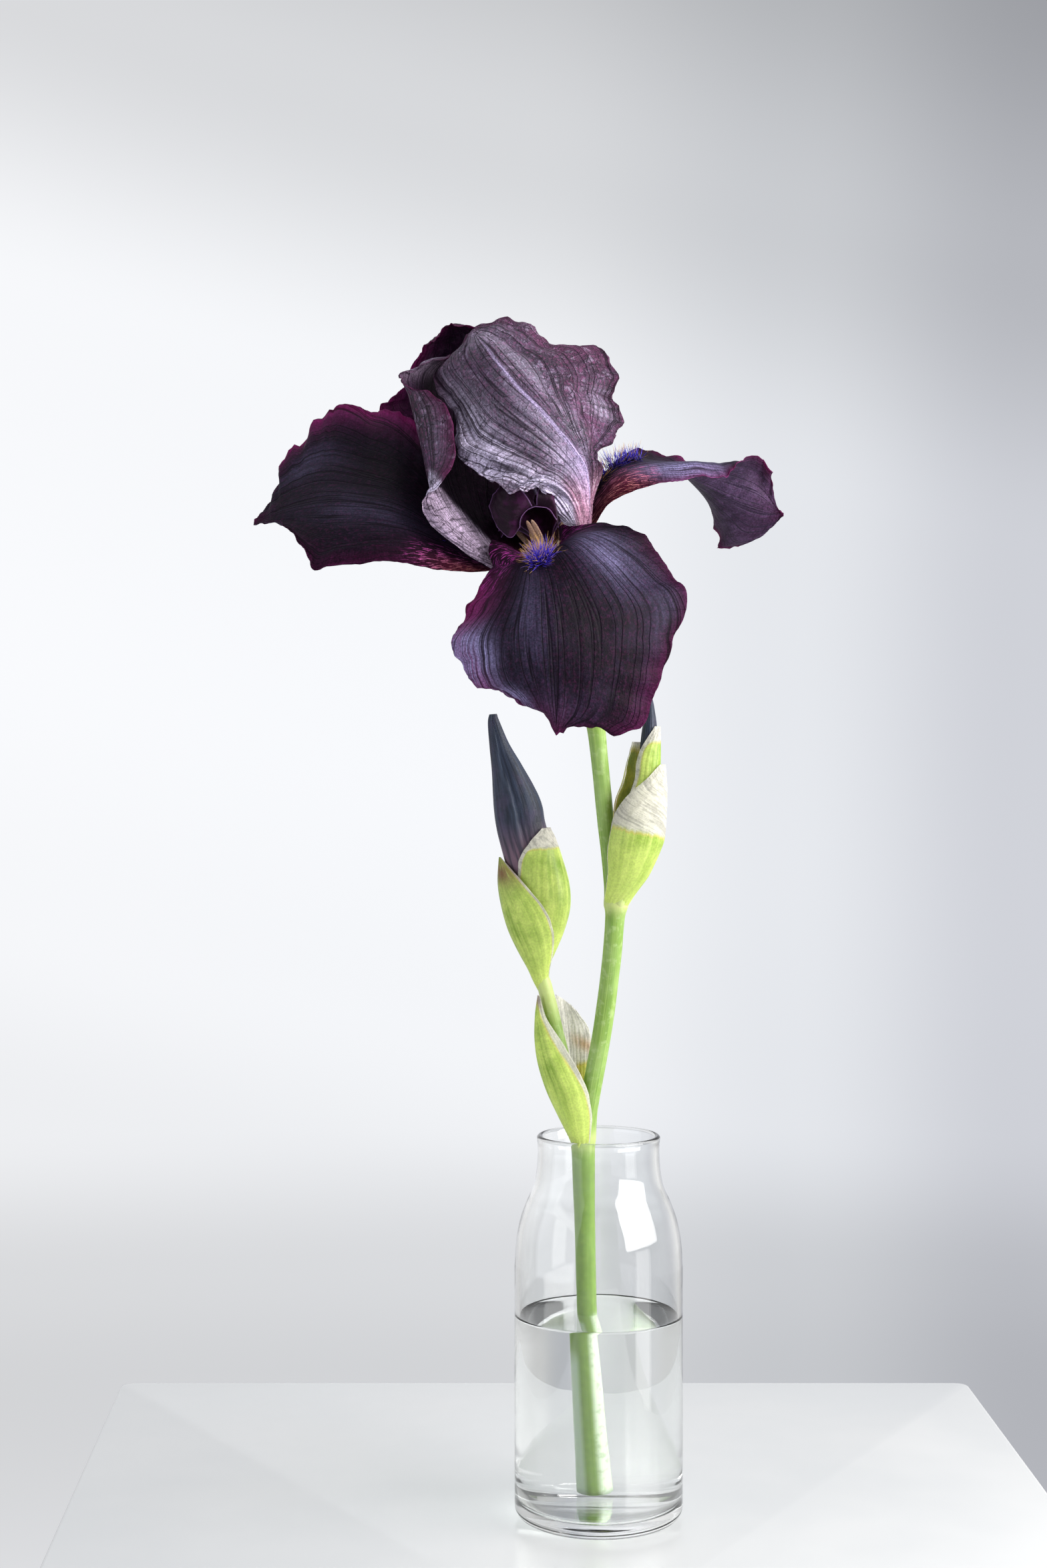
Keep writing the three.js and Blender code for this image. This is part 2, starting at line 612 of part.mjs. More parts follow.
const shoulderProfile = [
  [vaseRadius, 86], [28.6, 93], [27.9, 98.2], [26.7, 103.2], [24.7, 108.5], [22.5, 113.6], [21.4, 118.9],
  [mouthRadius, 125],
];
const outerProfile = [
  [0, 0], [vaseRadius - 4, 0], [vaseRadius - 1.4, 1.2], [vaseRadius - 0.3, 3.4], [vaseRadius, 6],
  ...shoulderProfile,
  [mouthRadius, vaseHeight - 1], [mouthRadius - 0.5, vaseHeight - 0.2], [mouthRadius - 0.9, vaseHeight],
];
const innerShoulder = shoulderProfile.map(([r, z]) => [r - wall, z]);
const innerProfile = [
  [mouthRadius - wall, vaseHeight - 0.9],
  ...innerShoulder.reverse(),
  [vaseRadius - wall, floorThickness + 3],
  [vaseRadius - wall - 1, floorThickness + 0.9],
  [vaseRadius - wall - 3.4, floorThickness],
  [0, floorThickness],
];
addPiece("vase", latheAround([...outerProfile, ...innerProfile], vaseSides), colours.glass, 0.05);

// Stalk: main stem with its ovary and tube, and the two branches that carry the buds
const tubeEnd = (drop, radius) => {
  const point = new THREE.Vector3(...throat).addScaledVector(bloomAxis, -drop);
  return [point.x, point.y, point.z, radius];
};
const stalkStations = [...mainStalk, tubeEnd(6, 3.9), tubeEnd(tubeDrop, tubeRadius)];
const stalk = solidOf(stalkGeometry(stalkStations, stalkSides, stalkRings))
  .add(solidOf(stalkGeometry(leftBranch, stalkSides, branchRings[0])))
  .add(solidOf(stalkGeometry(rightBranch, stalkSides, branchRings[1])));
addPiece("stalk", geometryOf(stalk), colours.stalk);

// Water, with a plain hole where the stalk stands in it
const waterRadius = vaseRadius - wall - seatGap;
const waterFloor = floorThickness + seatGap;
const waterProfile = [
  [0, waterFloor], [waterRadius - 3.4, waterFloor], [waterRadius - 1, waterFloor + 0.9],
  [waterRadius, floorThickness + 3], [waterRadius, waterLevel], [0, waterLevel],
];
const belowStalk = [0.3, 20.3, 0.5, 3.9];
const wettedStalk = mainStalk.slice(0, 4).map(([x, y, z, r]) => [x, y, z, r + seatGap]);
const holeRings = 8;
const water = solidOf(latheAround(waterProfile, vaseSides))
  .subtract(solidOf(stalkGeometry([belowStalk, ...wettedStalk], stalkSides, holeRings)));
addPiece("water", geometryOf(water), colours.water, 0.05);

// Sheaths of the lower node
for (const [name, { rails, cells, colour }] of Object.entries(lowerSheaths)) {
  addPiece(name, bladeGeometry(rails, sheathThickness, cells), colour);
}

// Buds and the sheaths that wrap them and the ovary
addPiece("bud_left_petals", stalkGeometry(leftBud, budSides[0], budRings[0], budFlattening), colours.bud);
addPiece("bud_right_petals", stalkGeometry(rightBud, budSides[1], budRings[1], budFlattening), colours.bud);
for (const [name, { stations, colour }] of Object.entries(sheaths)) {
  const [, , , , from, to] = stations[1];
  const cells = to - from > wideSheath ? wideSheathCells : narrowSheathCells;
  addPiece(name, bladeGeometry(sheathRails(stations), sheathThickness, cells), colour);
}

// Petals
for (const [name, { rails, colour, ruffle }] of Object.entries(petals)) {
  addPiece(name, bladeGeometry(rails, petalThickness, petalCells, ruffle), colour);
}

// Style arms and stamens, each set over its fall
function armAxes({ forward, up, scale }) {
  const ahead = new THREE.Vector3(...forward).normalize();
  const side = ahead.clone().cross(new THREE.Vector3(...up)).normalize();
  const rise = side.clone().cross(ahead);
  return ([f, s, w]) => {
    const point = new THREE.Vector3(...throat);
    point.addScaledVector(ahead, f * scale);
    point.addScaledVector(side, s * scale);
    point.addScaledVector(rise, w * scale);
    return point.toArray();
  };
}

// The point straight under or over a given one that lies just above the tube's end
function onTube(point) {
  const end = new THREE.Vector3(...throat).addScaledVector(bloomAxis, -tubeDrop);
  const foot = new THREE.Vector3(...point);
  const rise = foot.clone().sub(end).dot(bloomAxis);
  return foot.addScaledVector(bloomAxis, footRise - rise).toArray();
}

function styleArmSolid(arm) {
  const place = armAxes(arm);
  const mirrored = ([f, s, w]) => [f, -s, w];
  const strap = [2, 1, 0].map((k) => styleHalf.map((row) => place(mirrored(row[k]))));
  strap.push(...[1, 2].map((k) => styleHalf.map((row) => place(row[k]))));
  strap.forEach((rail) => {
    rail[0] = onTube(rail[0]);
  });
  let solid = solidOf(bladeGeometry(strap, petalThickness, styleCells));
  arm.crest.forEach((spread, k) => {
    const hand = k === 0 ? 1 : -1;
    const spreadOut = (s) => hand * (s > lipHalf ? lipHalf + (s - lipHalf) * spread : s);
    const lobe = crestLobe.map((rail) => rail.map(([f, s, w]) => place([f, spreadOut(s), w])));
    const lobeRails = hand > 0 ? lobe : lobe.reverse();
    solid = solid.add(solidOf(bladeGeometry(lobeRails, petalThickness, crestCells)));
  });
  return solid;
}

for (const [name, arm] of Object.entries(styleArms)) {
  addPiece(name, geometryOf(styleArmSolid(arm)), colours.style);
  const place = armAxes(arm);
  const placed = (stations, shift) => stations.map(([f, s, w, r]) => [...place([f, s + shift, w]), r]);
  const stamen = solidOf(stalkGeometry(placed(filament, 0), filamentSides, filamentRings))
    .add(solidOf(stalkGeometry(placed(anther, antherSplit), antherSides, antherRings)))
    .add(solidOf(stalkGeometry(placed(anther, -antherSplit), antherSides, antherRings)));
  addPiece(name.replace("style_arm", "stamen"), geometryOf(stamen), colours.stamen);
}

// A repeatable run of numbers from 0 to 1
function seededNumbers(seed) {
  let state = seed;
  return () => {
    state = (state * 1103515245 + 12345) % 2147483648;
    return state / 2147483648;
  };
}

// Beards: a slim core along the midrib with stiff hairs sunk into it
for (const [name, { fall, face, from, to, lean, hair, seed }] of Object.entries(beards)) {
  const { rails } = petals[fall];
  const next = seededNumbers(seed);
  const lift = petalThickness / 2 + seatGap + coreRadius;
  const frame = (u) => {
    const up = sheetNormal(rails, u, 0.5).multiplyScalar(face);
    const ahead = sheetPoint(rails, u + 0.01, 0.5).sub(sheetPoint(rails, u - 0.01, 0.5)).normalize();
    const centre = sheetPoint(rails, u, 0.5).addScaledVector(up, lift);
    return { up, ahead, side: ahead.clone().cross(up), centre };
  };
  const coreStations = [0, 0.25, 0.5, 0.75, 1].map((t) => {
    const { centre } = frame(from + (to - from) * t);
    return [...centre.toArray(), coreRadius];
  });
  const hairs = [solidOf(stalkGeometry(coreStations, coreSides, coreRings))];
  for (let k = 0; k < bristleCount; k += 1) {
    const place = (k + 0.5) / bristleCount;
    const { up, ahead, side, centre } = frame(from + (to - from) * place);
    const fan = (next() - 0.5) * bristleFan;
    const direction = up.clone().multiplyScalar(Math.cos(fan)).addScaledVector(side, Math.sin(fan));
    direction.addScaledVector(ahead, lean * (next() * 1.6 - 0.3)).normalize();
    const end = centre.clone().addScaledVector(direction, hair * (0.75 + 0.35 * next()));
    const bristle = [[...centre.toArray(), bristleRadius], [...end.toArray(), bristleTipRadius]];
    hairs.push(solidOf(stalkGeometry(bristle, bristleSides, 1)));
  }
  addPiece(name, geometryOf(wasm.Manifold.union(hairs)), colours.beard);
}

export default iris;
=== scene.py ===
import math

import bpy
import numpy as np
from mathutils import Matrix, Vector


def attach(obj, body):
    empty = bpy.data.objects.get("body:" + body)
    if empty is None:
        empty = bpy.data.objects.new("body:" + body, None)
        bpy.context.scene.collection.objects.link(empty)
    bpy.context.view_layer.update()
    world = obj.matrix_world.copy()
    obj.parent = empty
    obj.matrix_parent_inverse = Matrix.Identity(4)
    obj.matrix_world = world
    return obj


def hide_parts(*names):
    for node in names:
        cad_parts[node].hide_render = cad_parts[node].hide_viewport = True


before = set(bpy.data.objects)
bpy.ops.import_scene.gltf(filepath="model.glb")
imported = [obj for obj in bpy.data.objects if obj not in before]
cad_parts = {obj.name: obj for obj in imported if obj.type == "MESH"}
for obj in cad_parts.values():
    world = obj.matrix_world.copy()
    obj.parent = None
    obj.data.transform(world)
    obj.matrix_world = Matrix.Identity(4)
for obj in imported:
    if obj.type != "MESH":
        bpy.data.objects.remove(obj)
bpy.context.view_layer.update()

MM = 0.001

# All measures are in millimetres. The bottle and the water: radii, thickness of the wall, level.
vase_radius, mouth_radius, wall, water_level = 29.0, 21.0, 1.7, 69.0
# From the bottle's side in to its mouth, as radius and height, and the middle of its inner corner
shoulder = [[vase_radius, 86], [28.6, 93], [27.9, 98.2], [26.7, 103.2], [24.7, 108.5],
            [22.5, 113.6], [21.4, 118.9], [mouth_radius, 125]]
foot_corner = (22.6, 9.7)

# The table's outline, and its edge from below to above as how far in and how high
table_corners = np.array([[-195.5, 167], [-160.5, -400], [161, -400], [161, 167]], float)
table_edge = [(1.6, -18), (0.6, -17.8), (0, -17), (0, -1.6), (0.15, -0.8), (0.6, -0.25), (1.5, 0)]

# Where the petals meet, the way the bloom stands, how far below that its tube ends, and how far
# above the tube's end the feet of the style arms are
throat = np.array([-17.0, -51.0, 322.0])
bloom_axis = np.array([-0.4, -0.05, 0.91]) / math.sqrt(0.4 ** 2 + 0.05 ** 2 + 0.91 ** 2)
tube_drop = 0.9
foot_rise = 0.45
bud_flattening = 0.82

# Each petal's rails run from its claw to its tip: one margin, halfway in, the midrib, halfway out,
# the other margin.
petal_rails = {
    "fall_front": [
        [[-19.4, -56, 320.4], [-26, -61, 323], [-32, -67, 323], [-35, -77, 318], [-42, -82, 307],
         [-47, -86, 296], [-44, -88, 285], [-32, -91, 280], [-16, -93, 268]],
        [[-18.3, -56, 320.9], [-22, -63, 322], [-25, -74, 321], [-27, -84, 319], [-30, -92, 309],
         [-33, -96, 298], [-31, -97, 287], [-24, -95, 278], [-16, -93, 268]],
        [[-17, -56, 321.4], [-18, -64, 322], [-20, -74, 322], [-21, -86, 320], [-20, -95, 312],
         [-19, -100, 300], [-18, -100, 289], [-17, -97, 277], [-16, -93, 267]],
        [[-15.8, -56, 322], [-14, -62, 324], [-14, -71, 327], [-9, -80, 328], [-3, -87, 319],
         [2, -92, 305], [0, -95, 291], [-4, -94, 275], [-15, -93, 268]],
        [[-14.6, -56, 322.6], [-12.5, -59.5, 329], [-9, -66, 333.5], [4, -70, 334], [16, -73, 326],
         [24, -79, 309], [17.5, -85, 293], [10, -88, 270], [-15, -93, 268]],
    ],
    "fall_left": [
        [[-22.2, -52, 319.8], [-29, -57, 320], [-37, -62, 320], [-48, -66, 320], [-59, -69, 321],
         [-73, -70, 322], [-92, -68, 320], [-99, -58, 331], [-114, -41, 337]],
        [[-21.8, -50.7, 320], [-29, -55, 320], [-39, -59, 322], [-50, -62, 325], [-62, -64, 329],
         [-75, -64, 331], [-89, -61, 331], [-102, -50, 336], [-114, -41, 337]],
        [[-21.3, -49.3, 320.2], [-29, -52, 322], [-41, -54, 326], [-52, -55, 332], [-65, -55, 339],
         [-78, -53, 342], [-91, -49, 343], [-104, -44, 341], [-114, -40, 338]],
        [[-20.9, -48, 320.3], [-28, -47, 324], [-39, -44, 331], [-50, -40, 342], [-63, -37, 354],
         [-77, -33, 359], [-92, -30, 360], [-105, -32, 352], [-114, -39, 339]],
        [[-20.5, -46.7, 320.5], [-28, -42, 328], [-37, -35, 340], [-47, -27, 357], [-60, -20, 372],
         [-77, -14, 380], [-91, -12, 379], [-106, -22, 362], [-114, -39, 339]],
    ],
    "fall_right": [
        [[-12, -50.6, 324.3], [-6, -53, 330], [1, -54, 342], [9, -54, 347], [19, -50, 350],
         [30, -44, 352], [40, -36, 352], [46, -28, 358], [53, -16, 361], [60, -4, 352],
         [63, 0, 346]],
        [[-12.6, -49.5, 324], [-7, -50, 334], [-1, -51, 344], [6, -49, 352], [17, -44, 355.5],
         [28, -38, 357.5], [38, -28, 358.5], [46, -19, 359.5], [54, -9, 357], [61, -2, 348],
         [63, 0, 346]],
        [[-13.1, -48.5, 323.8], [-8, -47, 336], [-3, -44, 347], [3, -40, 355], [13, -34, 359],
         [24, -27, 358], [34, -18, 354], [44, -10, 350], [54, -4, 347], [61, 0, 346],
         [64, 1, 346]],
        [[-13.7, -47.5, 323.5], [-9, -43, 336], [-3, -38, 348], [5, -32, 359], [15, -24, 361],
         [26, -15, 358], [36, -6, 351], [43, -1, 344], [49, 6, 338], [59, 5, 340], [64, 1, 345]],
        [[-14.2, -46.4, 323.2], [-9, -40, 336], [-2, -34, 350], [8, -24, 362], [19, -14, 363],
         [29, -4, 358], [38, 4, 349], [42, 10, 341], [42, 14, 334], [55, 11, 336], [64, 1, 345]],
    ],
    "standard_right": [
        [[-14.9, -54.3, 323], [-11.5, -56.5, 330.5], [-9, -67, 336], [-18, -76, 342],
         [-31, -72, 345.5], [-44, -61, 354], [-49, -48, 370], [-54, -38, 386], [-43, -43, 399]],
        [[-14.5, -53.5, 323.2], [-9, -56.5, 331], [-8, -65, 339], [-13, -72, 347], [-23, -71, 355],
         [-34, -65, 364.5], [-42, -56, 377], [-48, -47, 390], [-43, -43.5, 399.5]],
        [[-14.2, -52.8, 323.3], [-7, -56, 331], [-5.5, -61, 340], [-7, -66, 352], [-15, -69, 364],
         [-24, -67, 374], [-33, -60, 384], [-39, -53, 393], [-42.5, -44, 400]],
        [[-13.8, -52.2, 323.4], [-6, -56, 332], [-5, -60, 341], [-4, -63, 353], [-5, -61, 364],
         [-8, -56, 374], [-14, -50, 388], [-29, -44, 399], [-42, -43.5, 400.5]],
        [[-13.5, -51.3, 323.6], [-5, -54, 332], [-4, -57, 342], [-2, -57, 354], [3, -50, 363],
         [8, -42, 372], [0, -36, 393.5], [-23, -34, 405.5], [-42, -43, 401]],
    ],
    "standard_left": [
        [[-19.3, -54.5, 320.8], [-27, -60, 320], [-37, -64, 321], [-49, -67, 329], [-58, -67, 340],
         [-53, -67, 346], [-48, -63, 361], [-54, -56, 377], [-65, -48, 384], [-50, -35, 393]],
        [[-19.6, -53.7, 320.7], [-27, -58, 321], [-36, -63, 323], [-47, -67, 330], [-55, -67, 340],
         [-55, -61, 350], [-58, -55, 362], [-62, -50, 376], [-64, -44, 386], [-50, -34.5, 393.5]],
        [[-19.8, -52.8, 320.6], [-26, -57, 322], [-35, -61, 324], [-45, -64, 332], [-52, -62, 341],
         [-56, -55, 351], [-58, -47, 363], [-60, -41, 377], [-59, -37, 388], [-50, -34, 394]],
        [[-20, -52, 320.5], [-26, -54, 323.5], [-33, -54, 328], [-38, -52, 336], [-43, -49, 345],
         [-47, -43, 356], [-50, -35, 367], [-52, -29, 379], [-53, -29, 388],
         [-49.5, -33.5, 393.5]],
        [[-20.3, -51.3, 320.4], [-24, -50, 326], [-27, -46, 333], [-29, -42, 341], [-31, -38, 350],
         [-33, -32, 360], [-34, -25, 371], [-38, -20, 381], [-44, -22, 390], [-49, -33, 393]],
    ],
    "standard_back": [
        [[-18.6, -47.4, 321.7], [-21, -37, 333], [-30, -28, 345], [-46, -17, 357], [-62, -8, 369],
         [-76, -4, 379], [-70, -7, 389], [-60, -15, 400], [-51, -26, 405]],
        [[-17.8, -47.4, 322], [-19, -36, 334], [-26, -25, 347], [-36, -12, 360], [-46, -2, 373],
         [-57, 1, 384], [-57, -3, 395], [-53, -13, 403], [-50.5, -26, 405.5]],
        [[-17, -47.4, 322.4], [-17, -35, 335], [-21, -22, 348], [-26, -9, 362], [-31, 0, 376],
         [-37, 2, 387], [-42, -5, 398], [-46, -16, 404], [-50, -26, 406]],
        [[-16.3, -47.4, 322.7], [-15, -36, 335], [-16, -24, 348], [-17, -13, 362], [-19, -6, 375],
         [-21, -4, 386], [-27, -8, 398], [-38, -17, 404], [-49.5, -26.5, 405.5]],
        [[-15.5, -47.4, 323], [-13, -37, 335], [-11, -28, 348], [-9, -20, 361], [-7, -15, 373],
         [-7, -12, 385], [-14, -12, 397], [-30, -18, 404], [-49, -27, 405]],
    ],
}

# A ruffle is depth, waves and phase for one margin, then for the other.
petal_ruffles = {
    "fall_front": [1.2, 3.5, 0.4, 1.0, 3, 2.0],
    "fall_left": [0.8, 3, 0.0, 1.3, 5, 1.0],
    "fall_right": [0.7, 3, 1.5, 1.6, 4, 0.5],
    "standard_right": [1.0, 4, 0.0, 1.8, 5, 1.2],
    "standard_left": [0.6, 3, 0.0, 1.2, 4, 0.6],
    "standard_back": [1.4, 5, 0.0, 1.4, 4, 1.0],
}

# How far each seen margin stands off its rail: way along, then sideways and up
petal_margins = {
    "fall_front": {
        "low": [(0.01, 0, 0), (0.06, -3.5, 3.5), (0.125, -5, 5.2), (0.19, -6.6, 6),
                (0.25, -5, 2.6), (0.31, -2, -1.2), (0.36, -1.4, -0.6), (0.431, -1.7, 0.2),
                (0.499, -1.2, 0.1), (0.557, -0.2, -0.1), (0.599, 0.2, -0.1), (0.633, -0.1, 0),
                (0.695, 1.3, 0.1), (0.769, -0.1, -0.2), (0.791, -0.3, -2.3), (0.808, -0.2, -2.5),
                (0.842, -0.1, -0.7), (0.866, 0.3, 0.2), (0.89, 0.1, 0.2), (0.896, 0.8, 0.9),
                (0.92, 0.9, 0.7), (0.94, 1.1, 0.9), (0.96, 1.2, 1.3), (0.978, 1.1, 1.2),
                (0.992, 0, 0.2), (1, 0, 0)],
        "high": [(0.03, 0, 0), (0.08, -1, 3), (0.12, -2, 5.2), (0.165, -1.6, 4), (0.21, -0.3, 1.2),
                 (0.25, 0, 0), (0.357, 0, -0.8), (0.399, -0.1, -0.7), (0.432, -0.2, -0.6),
                 (0.478, -0.2, -0.2), (0.513, -0.1, 0), (0.549, -0.3, -0.4), (0.576, -0.6, -0.3),
                 (0.605, 0.1, 0.1), (0.623, 0.7, -0.1), (0.657, 0.5, -0.3), (0.688, 0.5, -0.5),
                 (0.711, 0.5, -0.4), (0.759, 1.4, -0.5), (0.79, 0.4, -0.2), (0.813, -0.4, 0),
                 (0.842, -0.8, 0.1), (0.865, -0.1, 0), (0.879, 0.3, -0.3), (0.896, -0.2, 0.4),
                 (0.917, -0.2, -0.8), (0.927, -0.3, 1.4), (0.936, 0, 1.6), (0.948, -0.1, 2.7),
                 (0.96, -0.2, 2.3), (0.975, 0, 2.5), (0.988, -0.1, 1.9), (0.994, -0.2, -0.7),
                 (1, 0, 0)],
    },
    "fall_left": {
        "low": [(0.232, 0, 0), (0.312, -0.1, -0.5), (0.373, 0, -0.3), (0.438, 0, -0.3),
                (0.495, -0.1, -0.1), (0.552, -0.1, -0.3), (0.594, -0.1, -0.4), (0.653, 0.2, -0.5),
                (0.688, -0.3, 0.9), (0.714, -0.2, 0.9), (0.749, -0.2, -0.3), (0.777, 1, 1),
                (0.811, 1, 0.4), (0.846, 0.2, 0.1), (0.884, 0, 0.3), (0.907, 0.2, 1.7),
                (0.926, 0.3, 2.6), (0.943, 0.2, 2.3), (0.968, 0.1, 2.4), (0.983, 0, 0.9),
                (1, 0, 0)],
        "high": [(0.52, 0, 0), (0.6, -1.4, 0.8), (0.629, -0.2, -0.5), (0.66, -0.1, 0.1),
                 (0.692, 0, -0.4), (0.724, 0, -0.2), (0.747, 0.4, -1.1), (0.754, -0.2, 0.1),
                 (0.775, 0.3, -0.6), (0.792, -0.6, 0.4), (0.809, -0.7, 0.5), (0.819, 0.4, -0.8),
                 (0.833, 0.7, -0.9), (0.846, -0.1, 0.1), (0.858, 0.1, -0.2), (0.873, -0.5, 0.2),
                 (0.887, 0, 0), (0.898, 1.5, -1.4), (0.914, 1.9, -1.5), (0.926, 3.3, -2.4),
                 (0.943, 2.6, -1.9), (0.96, 2.5, -1.6), (0.969, 3.6, -2.5), (0.985, 3, -2.1),
                 (1, 0, 0)],
    },
    "fall_right": {
        "low": [(0.116, 0, 0), (0.196, 0.1, 0), (0.237, 0.5, -0.5), (0.282, 0.4, -0.7),
                (0.33, 0.4, -1), (0.375, 0.3, -0.9), (0.42, 0.1, -0.7), (0.459, 0.3, -0.6),
                (0.496, 0.1, 0.7), (0.519, 0.3, 1.3), (0.552, 0.6, 1.3), (0.593, 0.1, 1),
                (0.644, -0.4, 0.5), (0.69, -0.1, 0.2), (0.744, -0.2, 0.9), (0.78, 1, 2.3),
                (0.804, 1.9, 1.3), (0.83, 1.9, 1), (0.845, 2.6, 1.2), (0.866, 1.1, 0.8),
                (0.899, 0.4, 0.3), (0.929, -0.6, -0.2), (1, 0, 0)],
        "high": [(0.284, 0, 0), (0.364, -1.3, 1.7), (0.379, 0.2, 1.8), (0.403, 0.2, 1.7),
                 (0.416, 0.4, 1.2), (0.442, 1.1, 2.6), (0.474, 2.2, 4), (0.492, 2, 3.3),
                 (0.516, 1.3, 1.7), (0.548, 0.6, 0.9), (0.599, 0.1, 0.2), (0.646, 0.3, 0.3),
                 (0.697, 0.4, 0.2), (0.739, 0.8, -0.1), (0.799, 0, 0.1), (0.833, -0.3, 1.3),
                 (0.856, -0.3, 0.6), (0.878, -1.2, 2.3), (0.899, -1.7, 2.1), (0.926, -2.1, 3),
                 (0.949, -1.1, 1.3), (0.971, -0.7, 0.9), (0.987, -1.1, 1.6), (1, 0, 0)],
    },
    "standard_right": {
        "low": [(0.08, 0, 0), (0.12, 1.5, 3.6), (0.16, -1.2, 2.1), (0.2, -4.7, 1.4),
                (0.24, -7.0, 2.1), (0.28, -6.9, 3.7), (0.31, -7.2, 4.4), (0.35, -6.8, 3.6),
                (0.4, -6.2, 1.2), (0.44, -4.9, -0.2), (0.5, -3.9, 1.1), (0.55, -2.5, 1.1),
                (0.6, -0.5, 0.7), (0.632, -0.5, -0.3), (0.655, -1.6, -0.4), (0.703, 0.1, 0),
                (0.745, 0.5, 0.4), (0.804, 0.9, 0.6), (0.844, 0, -0.1), (0.867, -1.1, 0.3),
                (0.888, -0.9, 0.4), (0.905, -0.4, 0.5), (0.926, -0.2, 0.1), (0.952, -0.4, 0.5),
                (0.971, -0.4, 0.6), (0.989, -0.8, 1.1), (1, 0, 0)],
        "high": [(0.29, 0, 0), (0.37, 0.3, 0.4), (0.452, -0.3, 0.3), (0.503, -0.2, 0.1),
                 (0.537, -0.1, 0.3), (0.564, -0.7, 1), (0.613, -0.4, 0), (0.642, -1.8, -0.1),
                 (0.664, -3.6, -0.3), (0.681, -1.9, -0.4), (0.692, -1.6, -0.2), (0.702, 0.4, 0.2),
                 (0.721, 0.3, 0.1), (0.741, 0.2, 0.2), (0.754, 0.9, 1.6), (0.768, 1.2, 2),
                 (0.779, 0.9, 1.5), (0.79, -0.2, -0.2), (0.803, -0.8, -1.1), (0.812, -1.5, -2.8),
                 (0.823, -1.7, -3.4), (0.837, -1.2, -2.3), (0.848, -1.2, -2.5),
                 (0.863, -0.5, -0.7), (0.878, -0.1, -0.4), (0.897, -0.1, -0.5), (0.921, -0.2, 0.9),
                 (0.942, -0.4, 1.1), (0.965, -0.4, 0.9), (0.983, -0.4, 0.9), (1, 0, 0)],
    },
    "standard_left": {
        "low": [(0.122, 0, 0), (0.202, -0.2, -0.2), (0.245, 0, 0.2), (0.285, -0.1, -0.2),
                (0.312, -0.1, 0.1), (0.336, -0.3, -0.2), (0.367, -0.5, -0.6), (0.386, -0.8, -0.7),
                (0.405, -0.6, -0.3), (0.427, -0.4, -0.3), (0.444, 0.2, 0), (0.485, 0, 0.1),
                (0.51, -0.4, 1), (0.556, 0, 0.1), (0.58, 0.5, -0.1), (0.611, 1, -0.3),
                (0.636, 1, 0), (0.655, 0.4, -0.1), (0.682, 0.3, 0), (0.7, 0.9, 0.3),
                (0.721, 0.9, 0.6), (0.74, 1, 0.8), (0.76, 0.4, 0.1), (0.777, -0.3, -0.3),
                (0.8, 0, -0.1), (0.814, -0.3, -0.5), (0.829, -0.5, -1.2), (0.843, -0.3, -0.8),
                (0.862, -0.2, -0.2), (0.897, -0.5, 0.5), (0.911, -0.4, 1.2), (0.926, 0, -0.3),
                (0.94, 0, -0.1), (0.953, 0, -0.4), (0.965, 0.4, 0.4), (1, 0, 0)],
    },
    "standard_back": {
        "high": [(0.0, 0, 0), (0.08, 3, 1), (0.13, 4.5, 1), (0.2, 3, 0), (0.3, 0, 0), (1, 0, 0)],
        "low": [(0.0, 0, 0), (0.03, -4.5, 0.5), (0.07, -6.8, 1), (0.12, -7, 2), (0.17, -5, 1),
                (0.26, 0, 0), (0.485, 0, 0), (0.565, 0.4, 1.7), (0.59, 0.2, 0.8),
                (0.617, 0.5, 0.6), (0.644, 1.5, 0.3), (0.681, 2.7, -0.9), (0.714, 1.4, -0.4),
                (0.75, 2.1, -0.5), (0.76, 3, -0.8), (0.788, 1.6, -0.2), (0.805, 1.9, -0.4),
                (0.824, 1.3, -0.1), (0.84, 1.6, -0.2), (0.866, 0.7, 0.1), (0.882, 1.3, -0.4),
                (0.913, 0.2, 0.3), (0.952, 0.5, 0), (0.966, 0.5, 1.3), (0.97, 3.1, 2), (1, 0, 0)],
    },
}

# Frills: margin, from, to, width of a wave, height and reach inward
petal_frills = {
    "fall_front": [("low", 0.35, 1, 9, 0.8, 8), ("low", 0.6, 1, 3.5, 0.35, 4),
                   ("high", 0.3, 0.9, 12, 0.8, 10), ("high", 0.84, 1, 4, 0.7, 5),
                   ("both", 0.35, 1, 1.8, 0.12, 2)],
    "fall_left": [("high", 0.4, 1, 10, 0.7, 12), ("high", 0.4, 1, 4, 0.35, 5),
                  ("low", 0.6, 1, 7, 0.5, 6), ("both", 0.3, 1, 1.8, 0.12, 2)],
    "fall_right": [("high", 0.3, 0.8, 8, 0.8, 7), ("high", 0.75, 1, 4.5, 0.7, 5),
                   ("low", 0.5, 1, 6, 0.6, 6), ("both", 0.3, 1, 1.8, 0.1, 2)],
    "standard_right": [("high", 0.4, 1, 11, 0.5, 12), ("high", 0.35, 1, 5, 0.3, 7),
                       ("high", 0.35, 1, 2.0, 0.16, 3), ("low", 0.2, 0.65, 6, 1.0, 10),
                       ("low", 0.2, 0.68, 2.6, 0.5, 5), ("low", 0.6, 1, 5, 0.3, 5)],
    "standard_left": [("low", 0.2, 0.65, 6, 0.4, 5), ("low", 0.8, 1, 4, 0.8, 8),
                      ("high", 0.3, 1, 6, 0.8, 6)],
    "standard_back": [("both", 0.35, 1, 9, 0.7, 10), ("both", 0.35, 1, 4, 0.4, 6),
                      ("both", 0.3, 1, 2, 0.2, 3)],
}

